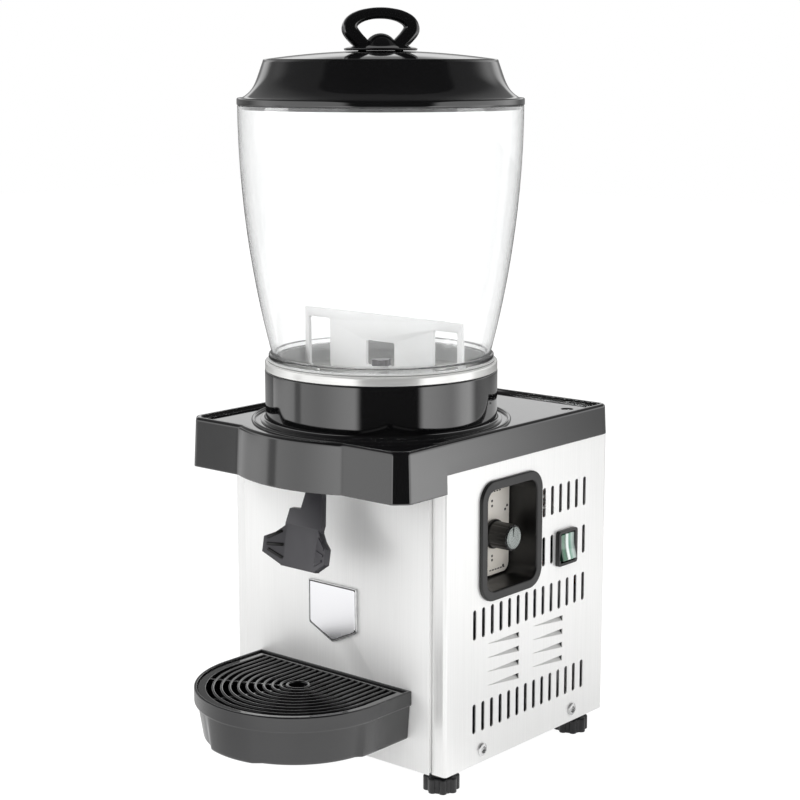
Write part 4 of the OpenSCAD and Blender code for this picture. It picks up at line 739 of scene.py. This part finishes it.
rows = np.stack([r * np.cos(a), r * np.sin(a), barrel[:, 1:] + 0 * a], axis=-1)
makePiece("knobBarrel", [layAlongX(skin(rows), (knob["x"], knob["y"], knob["z"]))], blackSatin, "knob",
          ["thermostat_knob"])
disc = softLine([(0, -0.6), (radius - 1.5, -0.6), (radius - 1.5, 1.0), (radius - 2.6, 1.3),
                 (radius - 3.4, 0.9), (0, 1.2)], (0.1, 0.4, 0.4, 0.5), 4)
pointer = easedBox((-1, 0.8, 0.9), (1, radius - 1.6, 1.8), 0.3)
capPlace = (knob["x"] + length + 0.02, knob["y"], knob["z"])
makePiece("knobCap", [layAlongX(turned(disc, 0, 0, 96), capPlace), layAlongX(pointer, capPlace)],
          silverFoil, "knob", ["knob_cap"])
print("controls done")


# switch: framed housing with a well, and a rocker with a dished face
switch = {"y": 118, "z": 184.4, "width": 28, "height": 31.5, "corner": 2.6, "face": 124, "wellWidth": 21.4,
          "wellHeight": 26.4, "wellCorner": 0.8, "wellFloor": 107.6, "bodyWidth": 22, "bodyHeight": 28,
          "back": 94, "pivotX": 119.4, "rockerWidth": 20.4, "tip": -8, "tagX": (86, 95), "tagHalf": (3, 0.5),
          "tags": (-8, 0, 8)}


def switchRow(w, h, r, x):
    return facingRow(w, h, r, x, switch["y"], switch["z"], 6)


w, h, face = switch["width"], switch["height"], switch["face"]
wellW, wellH, wellFloor = switch["wellWidth"], switch["wellHeight"], switch["wellFloor"]
line = softLine([(w, h, panel), (w, h, face), (wellW, wellH, face - 0.4), (wellW, wellH, wellFloor)],
                (1.3, 0.5), 4)
corners = np.interp(line[:, 0], (wellW, w), (switch["wellCorner"], switch["corner"]))
rows = [switchRow(switch["bodyWidth"], switch["bodyHeight"], 1, x) for x in (switch["back"], panel)]
rows += [switchRow(*size, corner, x) for (*size, x), corner in zip(line, corners)]
tags = []
wide, thick = switch["tagHalf"]
for rise in switch["tags"]:
    y, z = switch["y"], switch["z"] + rise
    low, high = (switch["tagX"][0], y - wide, z - thick), (switch["tagX"][1], y + wide, z + thick)
    tags.append(easedBox(low, high, 0.2))
makePiece("switchHousing", [skin(rows, True, True)] + tags, blackSatin, "cabinet", ["switch_housing"])
profile = softLine([(-6, 0), (-6, 7), (0, 12), (5.2, 11.7), (4.3, 6), (3.8, 0), (4.3, -6), (5.2, -11.7),
                    (0, -12), (-6, -7), (-6, 0)], (0.5, 0.5, 0.9, 3, 3, 3, 0.9, 0.5, 0.5), 4)[:-1]
spin = turnIn(profile, 0, 1, -switch["tip"])
rows = []
for part, shrink in ((-1, 0.955), (-0.94, 1), (0.94, 1), (1, 0.955)):
    x, z = switch["pivotX"] + spin[:, 0] * shrink, switch["z"] + spin[:, 1] * shrink
    rows.append(np.column_stack([x, np.full(len(spin), switch["y"] + part * switch["rockerWidth"] / 2), z]))
makePiece("rockerButton", [skin(rows, True, True)], greenLensPaintedReflection, "rocker", ["rocker_button"])

# feet: lobed pads with eased edges, a neck and the stud
feet = {"radius": 13, "lobe": 3.4, "lobeAt": 12, "lobes": 8, "pad": 13, "neck": 9, "top": 19.6, "stud": 4,
        "studTop": 30, "places": (("footFrontLeft", "foot_front_left", "foot_a", -100, -28),
                                  ("footFrontRight", "foot_front_right", "foot_b", 100, -28),
                                  ("footRearLeft", "foot_rear_left", "foot_c", -100, 160),
                                  ("footRearRight", "foot_rear_right", "foot_d", 100, 160))}
pad, neck, neckTop, stud, studTop = (feet[key] for key in ("pad", "neck", "top", "stud", "studTop"))
# reach of the lobed outline: the further of the disc and the nearest lobe's circle
a = np.linspace(0, 2 * np.pi, 192, endpoint=False)
off = (a + np.pi / feet["lobes"]) % (2 * np.pi / feet["lobes"]) - np.pi / feet["lobes"]
sideways = feet["lobeAt"] * np.sin(off)
lobe = feet["lobeAt"] * np.cos(off) + np.sqrt(np.maximum(feet["lobe"] ** 2 - sideways ** 2, 0))
grip = np.where(np.abs(sideways) < feet["lobe"], np.maximum(lobe, feet["radius"]), feet["radius"])
line = softLine([(2, 0), (0, 0), (0, pad), (3, pad)], (1.2, 1.6), 5)
stem = softLine([(10.5, pad - 0.5), (neck, pad + 0.4), (neck, neckTop), (stud, neckTop), (stud, studTop),
                 (0, studTop)], (0.8, 0.8, 0.1, 0.6), 4)
for name, node, body, x, y in feet["places"]:
    rows = [np.column_stack([x + (grip - i) * np.cos(a), y + (grip - i) * np.sin(a), np.full(len(a), z)])
            for i, z in line]
    makePiece(name, [skin(rows, True, True), turned(stem, x, y, 64)], footRubber, body, [node])
print("switch and feet done")


# screw heads: low domes with a cross recess, heights worked out over radius and angle
def screwHead(radius, height, crossDeep):
    r = np.linspace(0, 1, 22)[:, None]
    a = np.linspace(0, 2 * np.pi, 96, endpoint=False)[None, :]
    x, y = r * radius * np.cos(a), r * radius * np.sin(a)
    dome = height * (0.45 + 0.55 * (1 - r ** 3))
    arm = np.minimum(np.abs(x), np.abs(y))
    longest = np.maximum(np.abs(x), np.abs(y))
    cross = np.clip((0.3 * radius - arm) / 0.25, 0, 1) * np.clip((0.52 * radius - longest) / 0.3, 0, 1)
    rows = np.concatenate([np.stack([x, y, dome - crossDeep * cross + 0 * a], axis=-1),
                           np.stack([x[-1:], y[-1:], 0 * a], axis=-1)])
    return skin(rows, False, True)


# shank below a head at the origin
def screwShank(radius, low, high):
    return turned([(0, low), (radius, low), (radius, high), (0, high)], 0, 0, 24)


screws = {"sideX": 120.02, "sideY": (1.5, 132), "sideZ": 31.2, "coverX": (-98.5, 98.5), "coverY": 148.5,
          "coverZ": 297.82, "rearX": (-113, 113), "rearY": 181.02, "rearZ": (36, 148, 260)}
heads = []
for y in screws["sideY"]:
    place = (screws["sideX"], y, screws["sideZ"])
    pair = [layAlongX(screwHead(5.6, 2.4, 2.0), place), layAlongX(screwShank(1.9, -8, 0.4), place)]
    heads += pair + [mirrorX(part) for part in pair]
makePiece("sidePanelScrews", heads, brightSteel, "cabinet", ["side_panel_screws"])
heads = []
for x in screws["coverX"]:
    for v, f in (screwHead(4.6, 1.8, 1.0), screwShank(2.1, -25.82, 0.18)):
        heads.append((v + np.array([x, screws["coverY"], screws["coverZ"]]), f))
makePiece("coverScrews", heads, brightSteel, "cabinet", ["cover_screws"])
heads = []
for x in screws["rearX"]:
    for z in screws["rearZ"]:
        for part in (screwHead(4, 1.9, 1.0), screwShank(1.8, -7, 0.4)):
            heads.append(layAlongY(part, (x, screws["rearY"], z)))
makePiece("rearPanelScrews", heads, brightSteel, "cabinet", ["rear_panel_screws"])

# badge: bare shield, a bright plate with a sunk line inside its chrome edge, the line coloured black as
# painted shade
badge = {"half": 27.4, "top": 165.5, "shoulder": 127, "point": 114, "face": -51.52, "thick": 2.2, "edge": 0.9,
         "line": 0.9}
half, top, shoulder, point = (badge[key] for key in ("half", "top", "shoulder", "point"))
shield = softLine([(0, top), (half, top), (half, shoulder), (0, point), (-half, shoulder), (-half, top),
                   (0, top)], (1.0, 2, 1.6, 2, 1.0), 6)[:-1]
centre = np.array([0, (top + point) / 2 + 3])


# outline of the badge at an inset, standing off the panel
def badgeRow(inset, off):
    flat = centre + (shield - centre) * (1 - inset / np.array([half, (top - point) / 2]))
    return np.column_stack([flat[:, 0], np.full(len(flat), badge["face"] - off), flat[:, 1]])


edge, thick, field = badge["edge"], badge["thick"], badge["edge"] + badge["line"]
line = softLine([(0, 0), (0, thick), (edge, thick), (edge, thick - 0.6)], (0.5, 0.2), 3)
rows = [badgeRow(inset, off) for inset, off in line]
makePiece("badgeEdge", [skin(rows, True, False)], chromeTrim, "cabinet", ())
# the sunk line, in black ink as painted shade
line = ((edge, thick - 0.8), (edge, thick - 0.5), (field, thick - 0.5), (field, thick - 0.8))
rows = [badgeRow(inset, off) for inset, off in line]
makePiece("badgeLinePaintedShade", [skin(rows, True, True)], dialInk, "cabinet", ())
line = ((field, thick - 1), (field, thick - 0.3), (field + 0.3, thick))
rows = [badgeRow(inset, off) for inset, off in line]
makePiece("badgeField", [skin(rows, True, True)], badgeSilver, "cabinet", ())

# rays on the lever's left wing: ribs laid over the wing's own, coloured black as painted shade, in the frame
# of the foot's plane
rays = {"knee": (0, -88.6, 222.8), "lean": 11, "turn": 24, "from": (19.2, 4.4, 0), "low": (0, -6.2, -0.2),
        "high": (15, -4.8, 2.2), "ease": 0.4, "places": ((3.4, -8, 30), (1.4, -19.5, 5), (1.4, -30.5, -22))}
parts = []
for x, z, tilt in rays["places"]:
    v, f = easedBox(rays["low"], rays["high"], rays["ease"])
    v = turnIn(v, 0, 2, -tilt) + np.array([x, 0, z])
    v = turnIn(v, 0, 1, -rays["turn"]) + np.array(rays["from"])
    v = turnIn(v, 1, 2, -rays["lean"]) + np.array(rays["knee"])
    parts.append(mirrorX((v, f)))
makePiece("leverRaysPaintedShade", parts, blackSatin, "lever", ())
print("screws, badge and rays done")


# spout: a tube that ends just under the cover's nose, out of sight behind the lever
spout = {"bore": 4.8, "radius": 6.5, "foot": 251, "top": 306, "y": -60}
bore, radius, foot, top = (spout[key] for key in ("bore", "radius", "foot", "top"))
tube = softLine([(bore, foot), (radius, foot), (radius, top), (bore, top), (bore, foot)], (0.6, 0.2, 0.2), 3)
makePiece("tapSpout", [turned(tube, 0, spout["y"], 48)], greyNylon, "cabinet", ["tap_spout"])

# pieces that keep their CAD shape, some with eased edges
easedNode("frontPanel", "front_panel", steelSheet, "cabinet", 0.45)
easedNode("tapLever", "tap_lever", greyNylon, "lever", 0.6, 3)
easedNode("stirrerPaddle", "stirrer_paddle", whiteAcetal, "stirrer", 0.5)
finishes = {
    steelSide: ("left_side_panel", "right_side_panel", "rear_panel"),
    zincSheet: ("base_plate", "top_deck", "tap_bracket", "thermostat_body"),
    brightSteel: ("stirrer_spindle", "motor_shaft", "thermostat_shaft", "lever_pin", "lever_spring"),
    copperTube: ("evaporator_coil", "filter_drier", "discharge_line", "liquid_line", "capillary_tube",
                 "suction_line"),
    blackEnamel: ("compressor", "stirrer_motor", "fan_motor"),
    finMetal: ("condenser", "fan_blade"),
    greyNylon: ("spindle_nut", "relay_cover", "fan_shroud"),
    sealRubber: ("compressor_grommets", "cable_gland"),
    ferrite: ("paddle_magnet", "drive_magnet"),
    whiteAcetal: ("valve_plunger",),
    leadSkin: ("switch_leads",),
    cutFoam: ("insulation_block",),
}
for material, names in finishes.items():
    for name in names:
        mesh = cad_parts[name].data
        mesh.materials.clear()
        mesh.materials.append(material)
print("CAD nodes dressed:", sum(len(names) for names in finishes.values()))


# stage: floor, world, two softboxes and one overhead

# settings that the stage's nodes share
number = {"data_type": "FLOAT"}
softly = {"interpolation_type": "SMOOTHSTEP"}
plus, minus, times = ({"operation": name} for name in ("ADD", "SUBTRACT", "MULTIPLY"))
larger, smaller, positive = ({"operation": name} for name in ("MAXIMUM", "MINIMUM", "ABSOLUTE"))
bearingOf, riseOf, inDegrees = ({"operation": name} for name in ("ARCTAN2", "ARCSINE", "DEGREES"))

# floor: white to the camera and through the bowl, still darkened by the object's shadow; mirrors see it end
# on the camera's side, with a painted shadow around the object, dim behind the object, fade toward the rear
# on the right and dip in a band on the left
ground = {"half": 6, "glow": 1.16, "share": 0.84, "gapAt": -41, "gapDim": 0.04, "leftBand": 0.44,
          "behind": 0.2, "through": 1.44}
# what mirrors see of it: a measure, where its band starts and ends, and the values there; degrees and metres
groundBands = {"gapSides": ("off", 34, 26, 0, 1), "gapDepth": ("away", 0.7, 1.1, 0, 1),
               # painted shadow: mirrors see the floor darker near the object and brighter further out
               "near": ("away", 0.22, 0.85, 0.78, 1.22), "far": ("away", 0.4, 1.4, 0, 1),
               "rightFront": ("bearing", 20, 38, 1, 1.7), "rightRear": ("bearing", 43, 57, 1, 0.22),
               "leftFrom": ("bearing", -129.5, -136, 0, 1), "leftTo": ("bearing", -145, -137, 0, 1),
               "gapEdge": ("off", 32, 74, 1.6, 1), "backSides": ("off", 100, 130, 0, 1),
               "backDepth": ("away", 1.9, 2.5, 0.45, 1)}


# bearing of a place in degrees, and how far it lies from the middle of the dark side, the short way round
def bearings(tree, parts):
    bearing = addNode(tree, "ShaderNodeMath", bearingOf, {0: (parts, "Y"), 1: (parts, "X")})
    bearing = addNode(tree, "ShaderNodeMath", inDegrees, {0: bearing})
    off = addNode(tree, "ShaderNodeMath", minus, {0: bearing, 1: ground["gapAt"]})
    off = addNode(tree, "ShaderNodeMath", positive, {0: off})
    off = addNode(tree, "ShaderNodeMath", minus, {0: off, 1: 180})
    off = addNode(tree, "ShaderNodeMath", positive, {0: off})
    return bearing, addNode(tree, "ShaderNodeMath", minus, {0: 180, 1: off})


reach = ground["half"]
floorMesh = bpy.data.meshes.new("floor")
floorMesh.from_pydata([(-reach, -reach, 0), (reach, -reach, 0), (reach, reach, 0), (-reach, reach, 0)], [],
                      [(0, 1, 2, 3)])
floor = bpy.data.objects.new("floor", floorMesh)
scene.collection.objects.link(floor)
paper = bpy.data.materials.new("paleFloor")
paper.use_nodes = True
tree = paper.node_tree
tree.nodes.clear()
seen = addNode(tree, "ShaderNodeLightPath")
coords = addNode(tree, "ShaderNodeTexCoord")
parts = addNode(tree, "ShaderNodeSeparateXYZ", {}, {"Vector": (coords, "Object")})
length = addNode(tree, "ShaderNodeVectorMath", {"operation": "LENGTH"}, {0: (coords, "Object")})
bearing, off = bearings(tree, parts)
measures = {"bearing": bearing, "off": off, "away": (length, "Value")}
band = {}
for name, (measure, low, high, start, end) in groundBands.items():
    band[name] = addNode(tree, "ShaderNodeMapRange", softly, {
        "Value": measures[measure], "From Min": low, "From Max": high, "To Min": start, "To Max": end})
dark = addNode(tree, "ShaderNodeMath", times, {0: band["gapSides"], 1: band["gapDepth"]})
onRight = addNode(tree, "ShaderNodeMath", times, {0: band["rightFront"], 1: band["rightRear"]})
onLeft = addNode(tree, "ShaderNodeMath", times, {0: band["leftFrom"], 1: band["leftTo"]})
onLeft = addNode(tree, "ShaderNodeMapRange", softly, {
    "Value": onLeft, "To Min": 1, "To Max": ground["leftBand"]})
sides = addNode(tree, "ShaderNodeMath", times, {0: onRight, 1: onLeft})
sides = addNode(tree, "ShaderNodeMix", number, {"Factor": band["far"], 2: 1.0, 3: sides})
behind = addNode(tree, "ShaderNodeMath", times, {0: band["backSides"], 1: band["backDepth"]})
behind = addNode(tree, "ShaderNodeMapRange", softly, {
    "Value": behind, "To Min": 1, "To Max": ground["behind"]})
mirrored = band["near"]
for share in (sides, band["gapEdge"], behind):
    mirrored = addNode(tree, "ShaderNodeMath", times, {0: mirrored, 1: share})
mirrored = addNode(tree, "ShaderNodeMix", number, {"Factor": dark, 2: mirrored, 3: ground["gapDim"]})
strength = ground["glow"]
for ray, value in (("Is Glossy Ray", mirrored), ("Is Transmission Ray", ground["through"])):
    strength = addNode(tree, "ShaderNodeMix", number, {"Factor": (seen, ray), 2: strength, 3: value})
share = addNode(tree, "ShaderNodeMath", times, {0: (seen, "Is Camera Ray"), 1: ground["share"]})
for ray in ("Is Glossy Ray", "Is Transmission Ray"):
    share = addNode(tree, "ShaderNodeMath", larger, {0: share, 1: (seen, ray)})
matt = addNode(tree, "ShaderNodeBsdfDiffuse", {}, {"Color": linear("#f4f4f4")})
glow = addNode(tree, "ShaderNodeEmission", {}, {"Color": linear("#ffffff"), "Strength": strength})
mix = addNode(tree, "ShaderNodeMixShader", {}, {0: share, 1: matt, 2: glow})
addNode(tree, "ShaderNodeOutputMaterial", {}, {"Surface": mix})
floorMesh.materials.append(paper)

# world: plain fill, white to the camera; mirrors see a bright left and right, a dark side that widens upward
# and a dim top
studio = {"fill": 0.72, "top": 0.1, "dim": 0.03, "gapHalf": 27, "gapWiden": 0.95, "gapFoot": 10, "turn": 0.9}
studioBands = {"leftRight": ("across", -0.3, 0.3, 1.15, 1.2), "sideHigh": ("height", 10, 25, 1, 0.1),
               "behind": ("off", 108, 138, 0, 1), "backLow": ("height", 5, 9, 0.22, 0.8),
               "backHigh": ("height", 11, 15, 0.8, 0.2), "top": ("height", 38, 62, 0, 1),
               "gap": ("past", 5, -5, 0, 1)}
world = bpy.data.worlds.new("studioWorld")
scene.world = world
world.use_nodes = True
tree = world.node_tree
tree.nodes.clear()
seen = addNode(tree, "ShaderNodeLightPath")
coords = addNode(tree, "ShaderNodeTexCoord")
parts = addNode(tree, "ShaderNodeSeparateXYZ", {}, {"Vector": (coords, "Generated")})
off = bearings(tree, parts)[1]
height = addNode(tree, "ShaderNodeMath", riseOf, {0: (parts, "Z")})
height = addNode(tree, "ShaderNodeMath", inDegrees, {0: height})
half = addNode(tree, "ShaderNodeMath", plus, {0: height, 1: studio["gapFoot"]})
half = addNode(tree, "ShaderNodeMath", larger, {0: half, 1: 0.0})
half = addNode(tree, "ShaderNodeMath", times, {0: half, 1: studio["gapWiden"]})
half = addNode(tree, "ShaderNodeMath", plus, {0: half, 1: studio["gapHalf"]})
past = addNode(tree, "ShaderNodeMath", minus, {0: off, 1: half})
across = addNode(tree, "ShaderNodeMath", times, {0: (parts, "Y"), 1: studio["turn"]})
across = addNode(tree, "ShaderNodeMath", plus, {0: (parts, "X"), 1: across})
measures = {"off": off, "past": past, "height": height, "across": across}
band = {}
for name, (measure, low, high, start, end) in studioBands.items():
    band[name] = addNode(tree, "ShaderNodeMapRange", softly, {
        "Value": measures[measure], "From Min": low, "From Max": high, "To Min": start, "To Max": end})
ringed = addNode(tree, "ShaderNodeMath", times, {0: band["leftRight"], 1: band["sideHigh"]})
backdrop = addNode(tree, "ShaderNodeMath", smaller, {0: band["backLow"], 1: band["backHigh"]})
for share, value in ((band["behind"], backdrop), (band["top"], studio["top"]), (band["gap"], studio["dim"])):
    ringed = addNode(tree, "ShaderNodeMix", number, {"Factor": share, 2: ringed, 3: value})
power = studio["fill"]
seenAs = {"Is Glossy Ray": ringed, "Is Transmission Ray": ground["through"], "Is Camera Ray": 1.0}
for ray, value in seenAs.items():
    power = addNode(tree, "ShaderNodeMix", number, {"Factor": (seen, ray), 2: power, 3: value})
sky = addNode(tree, "ShaderNodeBackground", {}, {"Color": linear("#ffffff"), "Strength": power})
addNode(tree, "ShaderNodeOutputWorld", {}, {"Surface": sky})

# softboxes: place, aim, width, height and brightness; the power follows from the area
lamps = {"leftSoftbox": ((-1.35, -1.15, 0.95), (0.0, 0.0, 0.32), 0.9, 1.5, 3.6),
         "rightSoftbox": ((1.55, 0.75, 0.95), (0.0, 0.0, 0.32), 0.9, 1.5, 1.7),
         "overheadSoftbox": ((0.1, -0.2, 2.1), (0.0, 0.0, 0.3), 1.4, 1.4, 3.0)}
for name, (place, aim, width, height, shine) in lamps.items():
    light = bpy.data.lights.new(name, "AREA")
    light.shape, light.size, light.size_y = "RECTANGLE", width, height
    light.energy = shine * math.pi * width * height
    lamp = bpy.data.objects.new(name, light)
    lamp.location = place
    way = np.array(aim) - np.array(place)
    tip = math.atan2(math.hypot(way[0], way[1]), -way[2])
    lamp.rotation_euler = (tip, 0, math.atan2(way[1], way[0]) - math.pi / 2)
    lamp.visible_glossy = False  # mirrors see the world's own bright sides instead
    scene.collection.objects.link(lamp)

# camera: fitted to the photograph's frame, no shift
view = {"place": (1.0276, -1.1737, 0.6002), "turn": (79.71, 0, 40.35), "lens": 83.18, "sensor": 36}
lens = bpy.data.cameras.new("camera")
lens.lens, lens.sensor_width = view["lens"], view["sensor"]
camera = bpy.data.objects.new("camera", lens)
camera.location = view["place"]
camera.rotation_euler = [math.radians(v) for v in view["turn"]]
scene.collection.objects.link(camera)
scene.camera = camera
scene.view_settings.view_transform = "Standard"
print("stage done")
